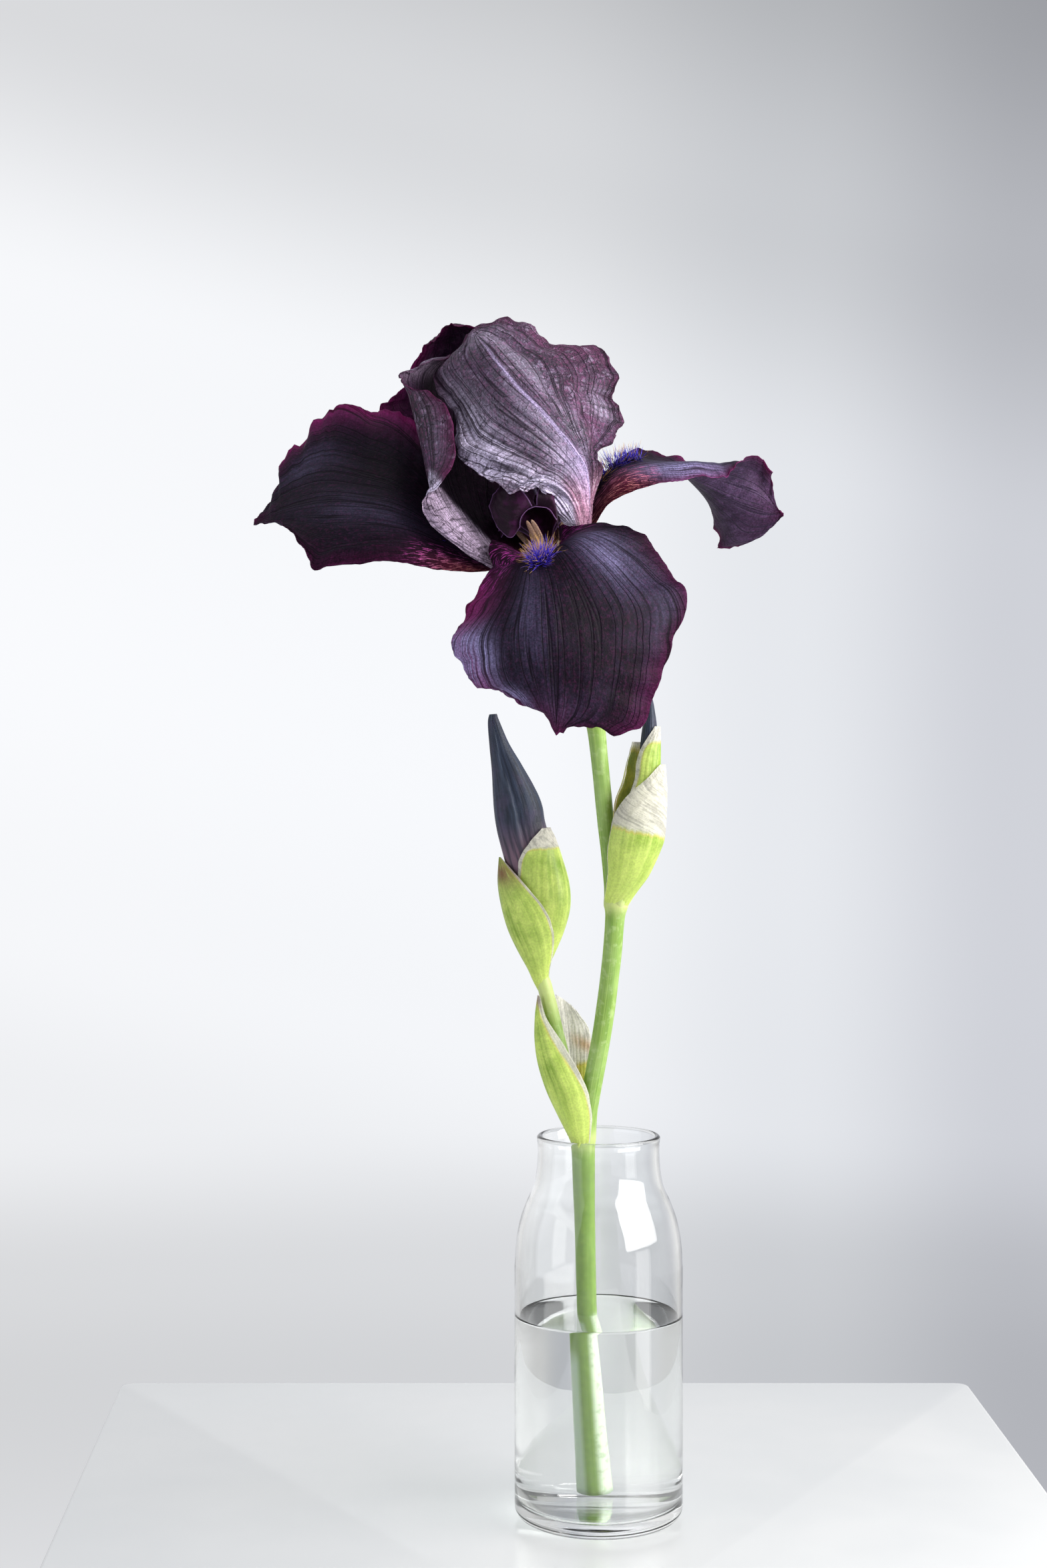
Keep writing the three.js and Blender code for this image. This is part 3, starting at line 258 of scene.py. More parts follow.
# Patches of a petal's values: strength, way along and across, size along and across
# The sheen patches are painted sheen and the shade patches painted shade.
petal_patches = {
    "fall_front": {
        "painted_sheen": [(0.38, 0.49, 0.82, 0.08, 0.08), (0.1, 0.64, 0.93, 0.08, 0.05),
                  (0.2, 0.4, 0.8, 0.06, 0.09), (1.2, 0.69, 0.12, 0.08, 0.08),
                  (2.0, 0.69, 0.02, 0.08, 0.06), (0.7, 0.87, 0.12, 0.06, 0.12),
                  (0.14, 0.6, 0.4, 0.2, 0.1), (0.1, 0.92, 0.5, 0.07, 0.2)],
        "glow": [(0.5, 0.6, 0.0, 0.1, 0.05), (0.1, 0.86, 0.96, 0.12, 0.06),
                 (1.2, 0.51, 0.0, 0.1, 0.13), (0.25, 0.93, 0.3, 0.06, 0.3),
                 (1.2, 0.75, 0.04, 0.1, 0.08)],
        "claw": [(0.75, 0.2, 0.04, 0.16, 0.2), (0.75, 0.18, 0.98, 0.14, 0.16),
                 (0.35, 0.42, 0.08, 0.08, 0.12), (0.35, 0.28, 0.72, 0.04, 0.1)],
        "painted_shade": [(0.8, 0.68, 0.64, 0.2, 0.16), (0.4, 0.5, 0.5, 0.1, 0.2)],
    },
    "fall_left": {
        "painted_sheen": [(0.1, 0.6, 0.45, 0.2, 0.12), (0.12, 0.8, 0.75, 0.1, 0.1)],
        "glow": [(0.7, 0.62, 1.0, 0.26, 0.08)],
        "claw": [(1.0, 0.32, 0.0, 0.19, 0.32)],
        "warm": [(1.0, 0.3, 0.0, 0.16, 0.2)],
    },
    "fall_right": {
        "painted_sheen": [(0.7, 0.4, 0.22, 0.12, 0.12), (0.6, 0.52, 0.1, 0.1, 0.12),
                  (0.05, 0.78, 0.3, 0.12, 0.2)],
        "glow": [(0.22, 0.88, 0.4, 0.12, 0.5)],
    },
    "standard_right": {
        "rib": [(0.5, 0.36, 0.47, 0.09, 0.12)],
        "painted_sheen": [(2.2, 0.58, 0.04, 0.18, 0.13), (2.6, 0.29, 0.05, 0.12, 0.15),
                  (0.4, 0.44, 0.38, 0.16, 0.1), (0.15, 0.62, 0.46, 0.14, 0.05),
                  (0.35, 0.63, 0.88, 0.04, 0.07), (0.4, 0.95, 0.5, 0.08, 0.2),
                  (0.35, 0.68, 0.2, 0.1, 0.1), (0.3, 0.74, 0.6, 0.12, 0.05),
                  (0.25, 0.5, 0.66, 0.1, 0.07)],
        "glow": [(0.5, 0.8, 0.9, 0.07, 0.12), (0.35, 0.56, 0.78, 0.12, 0.07)],
        "painted_shade": [(0.7, 0.27, 0.2, 0.05, 0.03), (0.6, 0.33, 0.16, 0.02, 0.05),
                 (0.9, 0.48, 0.08, 0.05, 0.05), (0.6, 0.76, 0.22, 0.09, 0.1),
                 (1.3, 0.8, 0.86, 0.08, 0.1), (0.4, 0.6, 0.4, 0.12, 0.06),
                 (0.5, 0.7, 0.76, 0.1, 0.08), (0.35, 0.86, 0.66, 0.08, 0.08)],
        "fold": [(1.0, 0.46, 0.0, 0.2, 0.2), (0.6, 0.7, 0.95, 0.2, 0.25)],
    },
    "standard_left": {"painted_sheen": [(0.6, 0.93, 0.3, 0.06, 0.4), (0.12, 0.72, 0.12, 0.14, 0.08)]},
    "standard_back": {"glow": [(0.2, 0.7, 0.05, 0.3, 0.1)]},
}

# Each petal's cells, depth of its crumples and vein grooves, and the side that its beard is on
petal_looks = {
    "fall_front": {
        "cells": (150, 170),
        "crumple": 0.8,
        "ridge": 0.03,
        "veins": 9,
        "seed": 101,
        "face": 1,
    },
    "fall_left": {
        "cells": (130, 120),
        "crumple": 0.9,
        "ridge": 0.04,
        "veins": 9,
        "seed": 202,
        "face": -1,
    },
    "fall_right": {
        "cells": (140, 110),
        "crumple": 0.7,
        "ridge": 0.04,
        "veins": 7,
        "seed": 303,
        "face": 1,
    },
    "standard_right": {
        "cells": (160, 170),
        "crumple": 4.2,
        "ridge": 0.035,
        "veins": 8,
        "seed": 404,
        "face": 1,
    },
    "standard_left": {
        "cells": (140, 110),
        "crumple": 0.9,
        "ridge": 0.03,
        "veins": 6,
        "seed": 505,
        "face": 1,
    },
    "standard_back": {
        "cells": (120, 120),
        "crumple": 1.2,
        "ridge": 0.04,
        "veins": 7,
        "seed": 606,
        "face": 1,
    },
}

# The two sheaths at the lower node: back margin, halfway, keel, halfway, front margin
lower_sheath_rails = {
    "sheath_lower_outer": [
        [[-4.2, -11.4, 127.2], [-3.6, -9.0, 132], [-5, -7.6, 141], [-8, -8, 149], [-11, -9, 157],
         [-15.5, -11.5, 165], [-20, -16.4, 173.5], [-20.8, -19.3, 181]],
        [[-6.6, -11.2, 127.2], [-8.0, -9.6, 132], [-11.5, -7.6, 141], [-15, -8.2, 149],
         [-18, -9.7, 157.5], [-20.5, -12.8, 165.5], [-21.4, -17, 174.5], [-20.9, -19.6, 181]],
        [[-8.2, -13.5, 127.2], [-10.0, -14, 132], [-14.4, -15, 141], [-18, -16, 149],
         [-20.7, -17, 157.8], [-21.8, -17.7, 166], [-21.6, -18.8, 175], [-20.9, -19.9, 181.3]],
        [[-6.8, -16.0, 127.2], [-7.6, -18.4, 132], [-9.8, -22.5, 141], [-12, -24, 149],
         [-15.5, -23, 157.5], [-18.3, -21.6, 165.5], [-20.4, -20.6, 174.5], [-20.6, -20.3, 181]],
        [[-4.1, -16.0, 127.2], [-3.4, -18.4, 132], [-2.6, -22.8, 141], [-4, -24.6, 149.5],
         [-7.6, -23.6, 157], [-12.3, -22, 165], [-18, -20.8, 173.5], [-20.4, -20.6, 180.8]],
    ],
    "sheath_lower_inner": [
        [[-8, -9.6, 134], [-12, -12, 148], [-13.5, -13, 160], [-14.5, -13.6, 172],
         [-15, -14.3, 181]],
        [[-5.5, -8.9, 134], [-8.5, -10, 148], [-9.5, -10.5, 160], [-10.5, -11, 171],
         [-11.5, -12, 178.5]],
        [[-3, -9.4, 134], [-3.6, -11.3, 148], [-3.2, -12, 158], [-3.2, -12.4, 168],
         [-7.5, -12.6, 175]],
    ],
}

# Stations of the stalk and of the rolled petals of each bud: x, y, z and radius
main_stalk = [[-0.1, 18.8, 6.3, 3.4], [-2.4, 8.5, 45, 3.3], [-3.9, 2.2, 69, 3.2],
              [-5, -7, 104, 3.3], [-5.5, -13.2, 127, 3.6], [-5.6, -14.4, 132, 3.9],
              [-5.1, -15.7, 137, 3.6], [-4.2, -17.2, 143, 3.2], [-2.6, -20, 152, 3],
              [0.8, -26, 173, 2.95], [3, -33, 193, 2.95], [4.1, -37, 208, 3], [4.4, -38, 213, 3.8],
              [3.9, -38.4, 218, 3.2], [2.6, -38.8, 228, 2.8], [1, -40.2, 240, 2.6],
              [-0.7, -43, 256, 2.6], [-2.3, -46, 270, 2.8], [-3.6, -47.6, 277, 3.6],
              [-6.4, -49, 286, 4.7], [-10, -50.2, 297, 4.6], [-12.8, -50.6, 307, 3.6]]
left_branch = [[-5, -14.6, 131, 2.5], [-8, -15.2, 142, 2.45], [-11.6, -16, 155, 2.4],
               [-16.7, -17, 176, 2.35], [-19, -17, 185, 2.3], [-20.3, -17, 189.5, 1.7]]
right_branch = [[4.6, -38.4, 211, 2.4], [6, -41.4, 217, 2.2], [8.2, -44.4, 225, 2.1]]
left_bud = [[-20.5, -17, 191, 1.4], [-20.6, -17, 196, 2.9], [-20.6, -17, 202, 5.6],
            [-20.6, -17, 210, 7.6], [-21.4, -17, 218, 8.1], [-24.2, -17.2, 228, 8.0],
            [-26.8, -17.5, 237.3, 7.9], [-28, -17.8, 244, 7.8], [-29.7, -18, 250.4, 6.7],
            [-31.7, -18.3, 257.4, 5.0], [-34.0, -18.6, 264.6, 3.3], [-35.9, -19, 272.5, 2.0],
            [-36.2, -19, 275.8, 1.25]]
right_bud = [[8.6, -45, 226.2, 1.6], [9.6, -46, 231, 3.4], [10.9, -46.4, 238, 4.5],
             [12.4, -46, 246, 4.4], [13.8, -45.3, 254, 3.3], [14.5, -44.8, 262, 2.6],
             [15.1, -44.4, 270, 2.3], [15.4, -44.2, 277, 1.2], [15.4, -44.1, 281, 0.4]]
# Where the stalk is yellower: height, size and strength
stalk_nodes = [(132, 3.5, 1.0), (213, 3, 1.0), (277, 6, 0.4), (6, 2, 0.9)]

# A sheath wraps a path: x, y, z, radius, and the two bearings in degrees where its margins stand
sheath_stations = {
    "bud_left_sheath_outer": [[-19.2, -17, 182.6, 1.4, 0, 358], [-19.9, -17, 186, 2.5, 8, 350],
                              [-20.4, -17, 190, 3.8, 25, 336], [-20.9, -17, 196, 6.6, 50, 322],
                              [-21.2, -17, 203, 9.6, 65, 305], [-21.5, -17, 211, 11.6, 85, 285],
                              [-22.3, -17, 219, 12, 110, 255],
                              [-23.2, -17.1, 227.6, 10.7, 170, 195]],
    "bud_left_sheath_inner": [[-20.4, -17, 192.5, 3.4, -150, 150],
                              [-20.2, -17, 196, 4.9, -150, 150], [-20.2, -17, 203, 7.8, -148, 148],
                              [-19.9, -17, 211, 9.5, -146, 146], [-20.8, -17, 219, 10, -140, 140],
                              [-23, -17.2, 227, 10, -118, 118], [-24.8, -17.3, 232, 10.1, -90, 90],
                              [-26.7, -17.5, 237.5, 9.7, -45, 45]],
    "bud_right_sheath_outer": [[4.2, -37.6, 210.5, 2.8, -178, 30],
                               [4.9, -39, 214.5, 4.3, -172, 40],
                               [6.2, -41.2, 218.5, 5.7, -160, 60], [7.9, -43.4, 223, 7, -165, 80],
                               [9.3, -45.4, 229, 8.3, -172, 100],
                               [10.7, -46.4, 235.5, 9.1, -175, 105],
                               [11.9, -46.2, 243, 8.4, -170, 110],
                               [13, -45.7, 249, 7.4, -135, 105], [13.8, -45.3, 254, 6.4, -92, 84],
                               [14.4, -45, 258.6, 5.3, -45, 55]],
    "bud_right_sheath_inner": [[10.9, -46.4, 238, 6.8, -150, 90], [12.4, -46, 246, 6, -150, 100],
                               [13.8, -45.3, 254, 4.4, -150, 110],
                               [14.3, -44.8, 262, 4.1, -140, 110],
                               [14.9, -44.5, 271, 3.4, -60, 60]],
    "bud_right_sheath_back": [[10.9, -46.4, 236, 8, 60, 184], [12.2, -46, 246, 8.4, 60, 190],
                              [13.2, -45.3, 253, 6.9, 60, 194], [13.7, -44.8, 259, 6.0, 70, 192],
                              [14.2, -44.5, 266, 4.6, 110, 186]],
    "sheath_top_outer": [[-2.6, -46.4, 272.8, 5.2, 5, 300], [-5, -48.2, 281, 7.4, 10, 280],
                         [-8.2, -49.6, 291, 8, 20, 260], [-11.2, -50.4, 301, 7.6, 40, 240],
                         [-13.4, -50.8, 309, 6.8, 90, 200]],
    "sheath_top_inner": [[-3.8, -47.4, 277, 7.6, -70, 15], [-5.6, -48.4, 283, 9, -70, 25],
                         [-8.2, -49.6, 291, 9.8, -80, 35], [-10.6, -50.3, 299, 9.4, -70, 50],
                         [-12.2, -50.6, 305, 8.6, -30, 50]],
}

# Where a sheath turns dry on its way to the tip, how wide its dry margins are and how they widen,
# its slant, its stains as u, v, size along, size across and strength, its folds and how deep
# they are. What a sheath doesn't name is as usual.
sheath_usual = {
    "margins": (0.03, 0.03),
    "widen": 0.1,
    "slant": 0,
    "stains": [],
    "folds": (12, 6, 4),
    "paleness": 1,
}
sheath_looks = {
    "sheath_lower_outer": {
        "dry": (0.86, 1.1),
        "widen": 0.3,
        "stains": [(0.96, 0.6, 0.05, 0.3, 0.5)],
        "folds": (18, 3, 4),
        "wrinkle": 0.25,
        "seed": 1,
    },
    "sheath_lower_inner": {
        "dry": (0.25, 0.5),
        "margins": (0.2, 0.03),
        "slant": -0.3,
        "stains": [(0.62, 0.85, 0.05, 0.3, 0.6), (0.35, 0.7, 0.1, 0.1, 0.35)],
        "folds": (12, 4, 3),
        "wrinkle": 0.35,
        "seed": 2,
    },
    "bud_left_sheath_outer": {
        "dry": (0.97, 1.1),
        "margins": (0.025, 0.025),
        "widen": 0.03,
        "stains": [(0.92, 0.7, 0.07, 0.3, 0.9)],
        "folds": (14, 6, 5),
        "wrinkle": 0.15,
        "seed": 3,
    },
    "bud_left_sheath_inner": {
        "dry": (0.76, 0.9),
        "margins": (0.02, 0.02),
        "widen": 0.05,
        "folds": (9, 30, 12),
        "wrinkle": 0.25,
        "seed": 4,
    },
    "bud_right_sheath_outer": {
        "dry": (0.5, 0.62),
        "margins": (0.02, 0.02),
        "widen": 0.0,
        "slant": 0.1,
        "stains": [(0.76, 0.62, 0.16, 0.012, 1.0), (0.58, 0.64, 0.03, 0.03, 1.0)],
        "folds": (3, 58, 16),
        "wrinkle": 0.4,
        "seed": 5,
    },
    "bud_right_sheath_inner": {
        "dry": (0.78, 0.95),
        "margins": (0.1, 0.05),
        "widen": 0.05,
        "folds": (5, 20, 6),
        "wrinkle": 0.2,
        "seed": 6,
    },
    "bud_right_sheath_back": {
        "dry": (0.7, 1.2),
        "stains": [(0.25, 0.9, 0.15, 0.08, 0.5)],
        "folds": (14, 6, 4),
        "paleness": 0.15,
        "wrinkle": 0.3,
        "seed": 7,
    },
    "sheath_top_outer": {
        "dry": (0.4, 0.8),
        "margins": (0.1, 0.1),
        "paleness": 0.5,
        "wrinkle": 0.4,
        "seed": 8,
    },
    "sheath_top_inner": {
        "dry": (0.7, 1.0),
        "margins": (0.08, 0.08),
        "paleness": 0.8,
        "wrinkle": 0.2,
        "seed": 9,
    },
}

# A style arm in its own axes: forward over its fall, sideways, and up. Middle, halfway, margin
style_half = [
    [[2.4, 0, 0.4], [2.4, 0.7, 0.4], [2.4, 1.3, 0.4]],
    [[4.2, 0, 6.5], [4.3, 1.1, 6.3], [4.5, 1.9, 6]],
    [[7.4, 0, 12.5], [7.6, 2, 12], [8, 3.6, 10.4]],
    [[12, 0, 17], [12.1, 3.6, 16], [12.4, 5.6, 12.6]],
    [[17, 0, 18.3], [17, 4, 16.9], [17.1, 6.1, 13]],
    [[20.6, 0, 17.2], [20.4, 4, 15.7], [20, 6, 11.8]],
]
crest_lobe = [
    [[19.4, 0.6, 17.6], [21, 1.4, 20.4], [20.4, 3.2, 24], [17.4, 5.5, 28]],
    [[19.2, 3.6, 16], [20.2, 6.6, 18], [19, 9.6, 21.5], [16, 10.5, 26.5]],
    [[18.8, 5.9, 12.2], [18.4, 9.4, 9.6], [16.4, 13, 14], [14.6, 14.6, 21.5]],
]
lip_half = 6.0
style_arms = {
    "style_arm_front": {
        "forward": [-0.1, -0.99, 0],
        "up": [-0.2, 0, 0.98],
        "scale": 1,
        "crest": [1, 0],
    },
    "style_arm_left": {
        "forward": [-0.93, 0.2, 0.12],
        "up": [-0.12, -0.12, 0.95],
        "scale": 0.86,
        "crest": [0.55, 0.3],
    },
    "style_arm_right": {
        "forward": [0.68, 0.5, 0.5],
        "up": [-0.5, 0, 0.86],
        "scale": 0.82,
        "crest": [0.5, 0.2],
    },
}
filament_stations = [[3.9, 0, 0.4, 0.6], [6, 0.6, 3.6, 0.5], [8.6, 1.2, 6.6, 0.45],
                     [9.8, 1.2, 7.6, 0.4]]
anther_stations = [[9.2, 1.2, 7, 0.7], [11.6, 1.6, 9.4, 1.1], [14.6, 2.2, 12, 1.05],
                   [17.4, 2.7, 14, 0.6]]

# Each beard's place along its fall, lean, longest hair and number of hairs
beards = {
    "beard_front": {
        "fall": "fall_front",
        "face": 1,
        "from": 0.27,
        "to": 0.4,
        "lean": 0.6,
        "hair": 7.4,
        "seed": 11,
        "hairs": 520,
    },
    "beard_left": {
        "fall": "fall_left",
        "face": -1,
        "from": 0.17,
        "to": 0.36,
        "lean": 0.35,
        "hair": 4.8,
        "seed": 23,
        "hairs": 240,
    },
    "beard_right": {
        "fall": "fall_right",
        "face": 1,
        "from": 0.18,
        "to": 0.4,
        "lean": 0.15,
        "hair": 7.2,
        "seed": 37,
        "hairs": 300,
    },
}


def smooth(low, high, x):
    """0 below low, 1 above high, and 3t^2 - 2t^3 between them."""
    t = np.clip((x - low) / (high - low), 0, 1)
    return t * t * (3 - 2 * t)


def bump_at(x, middle, width):
    """A bell: e to the minus square of the distance from the middle over the width."""
    return np.exp(-((x - middle) / width) ** 2)


def value_noise(a, b, seed, wrap=64):
    """Soft noise from -1 to 1: seeded numbers on a square lattice, blended by 3t^2 - 2t^3."""
    lattice = np.random.default_rng(seed).uniform(-1, 1, (wrap, wrap))
    a, b = np.broadcast_arrays(a, b)
    ia, ib = np.floor(a).astype(int), np.floor(b).astype(int)
    fa, fb = a - ia, b - ib
    fa, fb = fa * fa * (3 - 2 * fa), fb * fb * (3 - 2 * fb)

    def corner_value(i, j):
        """The lattice's number at one corner of each place's square."""
        return lattice[(ia + i) % wrap, (ib + j) % wrap]

    low = corner_value(0, 0) * (1 - fa) + corner_value(1, 0) * fa
    high = corner_value(0, 1) * (1 - fa) + corner_value(1, 1) * fa
    return low * (1 - fb) + high * fb


def layered_noise(a, b, seed, layers=3):
    """Value noise summed over layers, each twice as fine and half as strong, over 1.6."""
    total = 0
    for k in range(layers):
        total = total + value_noise(a * 2 ** k, b * 2 ** k, seed + k) / 2 ** k
    return total / 1.6


def curve_weights(count, t):
    """Catmull-Rom weights of even points at each t from 0 to 1, ends carried straight on."""
    place = np.clip(t, 0, 1) * (count - 1)
    start = np.minimum(np.floor(place).astype(int), count - 2)
    f = place - start
    spline = np.stack([
        -0.5 * f + f * f - 0.5 * f ** 3,
        1 - 2.5 * f * f + 1.5 * f ** 3,
        0.5 * f + 2 * f * f - 1.5 * f ** 3,
        -0.5 * f * f + 0.5 * f ** 3,
    ], axis=1)
    padded = np.zeros((len(f), count + 2))
    rows = np.arange(len(f))
    for k in range(4):
        padded[rows, start + k] += spline[:, k]
    weights = padded[:, 1:-1].copy()
    weights[:, 0] += 2 * padded[:, 0]
    weights[:, 1] -= padded[:, 0]
    weights[:, -1] += 2 * padded[:, -1]
    weights[:, -2] -= padded[:, -1]
    return weights


def rail_sheet(rails, u, v):
    """Points at every u along and v across: Catmull-Rom curves through the rails' points."""
    rails = np.array(rails, float)
    along = curve_weights(rails.shape[1], u.ravel())
    v = np.broadcast_to(v, (len(along), v.shape[1]))
    across = curve_weights(rails.shape[0], v.ravel()).reshape(*v.shape, -1)
    return np.einsum("uvr,us,rsk->uvk", across, along, rails)


def unit(vectors):
    """Each vector over its own length."""
    return vectors / (np.linalg.norm(vectors, axis=-1, keepdims=True) + 1e-12)


def soften(values, times):
    """Each row and column averaged with its neighbours by 1, 2, 1, the given number of times."""
    for _ in range(times):
        values = values.copy()
        values[1:-1] = (values[:-2] + 2 * values[1:-1] + values[2:]) / 4
        values[:, 1:-1] = (values[:, :-2] + 2 * values[:, 1:-1] + values[:, 2:]) / 4
    return values


def put_mesh(name, points, quads, triangles, materials, kind=None, maps=None, values=None):
    """A smooth mesh piece at the origin, from points in millimetres."""
    mesh = bpy.data.meshes.new(name)
    faces = quads.tolist() + ([] if triangles is None else triangles.tolist())
    mesh.from_pydata((points * MM).tolist(), [], faces)
    mesh.polygons.foreach_set("use_smooth", np.ones(len(faces), bool))
    for material in materials:
        mesh.materials.append(material)
    if kind is not None:
        mesh.polygons.foreach_set("material_index", np.asarray(kind, np.int32))
    corners = np.empty(len(mesh.loops), np.int32)
    mesh.loops.foreach_get("vertex_index", corners)
    for map_name, (a, b) in (maps or {}).items():
        layer = mesh.uv_layers.new(name=map_name)
        pairs = np.stack([a[corners], b[corners]], 1).astype(np.float32)
        layer.data.foreach_set("uv", pairs.ravel())
    for value_name, numbers in (values or {}).items():
        attribute = mesh.attributes.new(value_name, "FLOAT", "POINT")
        attribute.data.foreach_set("value", np.asarray(numbers, np.float32).ravel())
    mesh.update()
    piece = bpy.data.objects.new(name, mesh)
    bpy.context.scene.collection.objects.link(piece)
    return piece


def settle(piece, node):
    """The piece rides the root and stands in for the node."""
    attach(piece, "root")
    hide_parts(node)


def grid_quads(rows, columns, offset=0, flip=False):
    """Faces of a grid of points, turned over when flip is set."""
    i, j = np.meshgrid(np.arange(rows - 1), np.arange(columns - 1), indexing="ij")
    a = (i * columns + j).ravel() + offset
    b = a + columns
    quads = np.stack([a, b, b + 1, a + 1], 1)
    return quads[:, ::-1] if flip else quads


def rim_quads(rows, columns, offset):
    """The strip that joins the edge of the front grid to that of the back grid."""
    edge = np.concatenate([
        np.arange(0, rows - 1) * columns,
        (rows - 1) * columns + np.arange(0, columns - 1),
        np.arange(rows - 1, 0, -1) * columns + columns - 1,
        np.arange(columns - 1, 0, -1),
    ])
    after = np.roll(edge, -1)
    return np.stack([edge, edge + offset, after + offset, after], 1)


def ring_quads(rings, sides):
    """Faces between rings of points that follow each other."""
    i, j = np.meshgrid(np.arange(rings - 1), np.arange(sides), indexing="ij")
    a = (i * sides + j).ravel()
    b = (i * sides + (j + 1) % sides).ravel()
    return np.stack([a, b, b + sides, a + sides], 1)


def cap_triangles(rings, sides):
    """Fans that close the first and the last ring on two added middle points."""
    first, top = rings * sides, (rings - 1) * sides
    j = np.arange(sides)
    following = (j + 1) % sides
    low = np.stack([np.full(sides, first), following, j], 1)
    high = np.stack([np.full(sides, first + 1), j + top, following + top], 1)
    return np.concatenate([low, high])


class Heap:
    """Points and faces of several shapes that make one piece."""

    def __init__(self):
        """Nothing in it yet."""
        self.points, self.quads, self.triangles = [], [], []
        self.values = {}
        self.count = 0

    def add(self, points, quads, triangles=None, **values):
        """One more shape, its faces counted on from the points that are there."""
        self.points.append(points)
        self.quads.append(quads + self.count)
        if triangles is not None:
            self.triangles.append(triangles + self.count)
        for name, numbers in values.items():
            self.values.setdefault(name, []).append(np.broadcast_to(numbers, len(points)))
        self.count += len(points)

    def piece(self, name, materials, maps=None):
        """All the shapes as one mesh."""
        triangles = np.concatenate(self.triangles) if self.triangles else None
        values = {key: np.concatenate(parts) for key, parts in self.values.items()}
        return put_mesh(name, np.concatenate(self.points), np.concatenate(self.quads), triangles,
                        materials, maps=maps, values=values)


class Sheet:
    """
    A grid of points: u runs along it and v across it from 0 to 1, and side from -1 to 1. Distances
    from its low margin, its high margin and its tip are summed steps between the points.
    """

    def __init__(self, rows, columns):
        """Even steps of u and v, and side = 2 v - 1."""
        self.shape = rows, columns
        self.u = np.linspace(0, 1, rows)[:, None]
        self.v = np.linspace(0, 1, columns)[None, :]
        self.side = 2 * self.v - 1

    def over(self, points):
        """Takes the points. Normals are softened cross products of the steps along and across."""
        self.points = points
        normal = unit(np.cross(np.gradient(points, axis=0), np.gradient(points, axis=1)))
        normal[-3:] = normal[-4]
        self.normal = unit(soften(normal, 2))
        steps = np.linalg.norm(np.diff(points, axis=1), axis=2)
        self.from_low = np.pad(np.cumsum(steps, 1), ((0, 0), (1, 0)))
        self.from_high = self.from_low[:, -1:] - self.from_low
        self.from_margins = np.minimum(self.from_low, self.from_high)
        run = np.linalg.norm(np.diff(points, axis=0), axis=2)
        from_tip = np.pad(np.cumsum(run[::-1], 0)[::-1], ((0, 1), (0, 0)))
        self.edge = np.minimum(self.from_margins, from_tip)

    def both(self, value):
        """A value of each point, once for the front and once for the back."""
        return np.tile(np.broadcast_to(value, self.shape).ravel(), 2)

    def closed(self, front, back):
        """The points moved along their normals by front and by back, as one closed shape."""
        faces = [self.points + self.normal * far[..., None] for far in (front, back)]
        size = self.shape[0] * self.shape[1]
        quads = [grid_quads(*self.shape), grid_quads(*self.shape, size, True),
                 rim_quads(*self.shape, size)]
        return np.concatenate(faces).reshape(-1, 3), np.concatenate(quads)


def tube(stations, rings, sides, flattening=1.0, shape=None):
    """
    A closed tube. Its middle and radius are Catmull-Rom curves through the stations, and a ring
    is middle + radius (cos a) sideways + radius flattening (sin a) outward, with the radius
    changed by shape(t, a, radius) when that is given.
    """
    stations = np.array(stations, float)
    t = np.linspace(0, 1, rings)
    placed = curve_weights(len(stations), t) @ stations
    middle, radius = placed[:, :3], placed[:, 3]
    ahead = unit(np.gradient(middle, axis=0))
    sideways = np.empty_like(ahead)
    last = np.array([1.0, 0, 0])
    for i in range(rings):
        last = last - ahead[i] * (last @ ahead[i])
        last = last / np.linalg.norm(last)
        sideways[i] = last
    outward = np.cross(ahead, sideways)
    angle = 2 * np.pi * np.arange(sides) / sides
    reach = np.broadcast_to(radius[:, None], (rings, sides))
    if shape is not None:
        reach = shape(t[:, None], angle[None, :], reach)
    points = (middle[:, None] + (reach * np.cos(angle))[..., None] * sideways[:, None]
              + (reach * flattening * np.sin(angle))[..., None] * outward[:, None])
    points = np.concatenate([points.reshape(-1, 3), middle[:1], middle[-1:]])
    length = np.pad(np.cumsum(np.linalg.norm(np.diff(middle, axis=0), axis=1)), (1, 0))
    around = np.append(np.tile(angle / (2 * np.pi), rings), [0, 0])
    along = np.append(np.repeat(length, sides), [length[0], length[-1]])
    return points, ring_quads(rings, sides), cap_triangles(rings, sides), around, along


def lathe(profile, sides=160):
    """
    Profile points (radius, height) turned about Z. The profile starts and ends on the axis, where
    all points of a turn are one point.
    """
    profile = np.array(profile, float)
    angle = 2 * np.pi * np.arange(sides) / sides
    radius, height = profile[1:-1].T[..., None]
    x, y = radius * np.cos(angle), radius * np.sin(angle)
    rings = np.stack(np.broadcast_arrays(x, y, height), -1)
    poles = np.array([[0, 0, profile[0, 1]], [0, 0, profile[-1, 1]]])
    points = np.concatenate([rings.reshape(-1, 3), poles])
    return points, ring_quads(len(rings), sides), cap_triangles(len(rings), sides)


def finer(profile, steps=8):
    """A profile with Catmull-Rom points added between its own."""
    profile = np.array(profile, float)
    t = np.linspace(0, 1, (len(profile) - 1) * steps + 1)
    return (curve_weights(len(profile), t) @ profile).tolist()


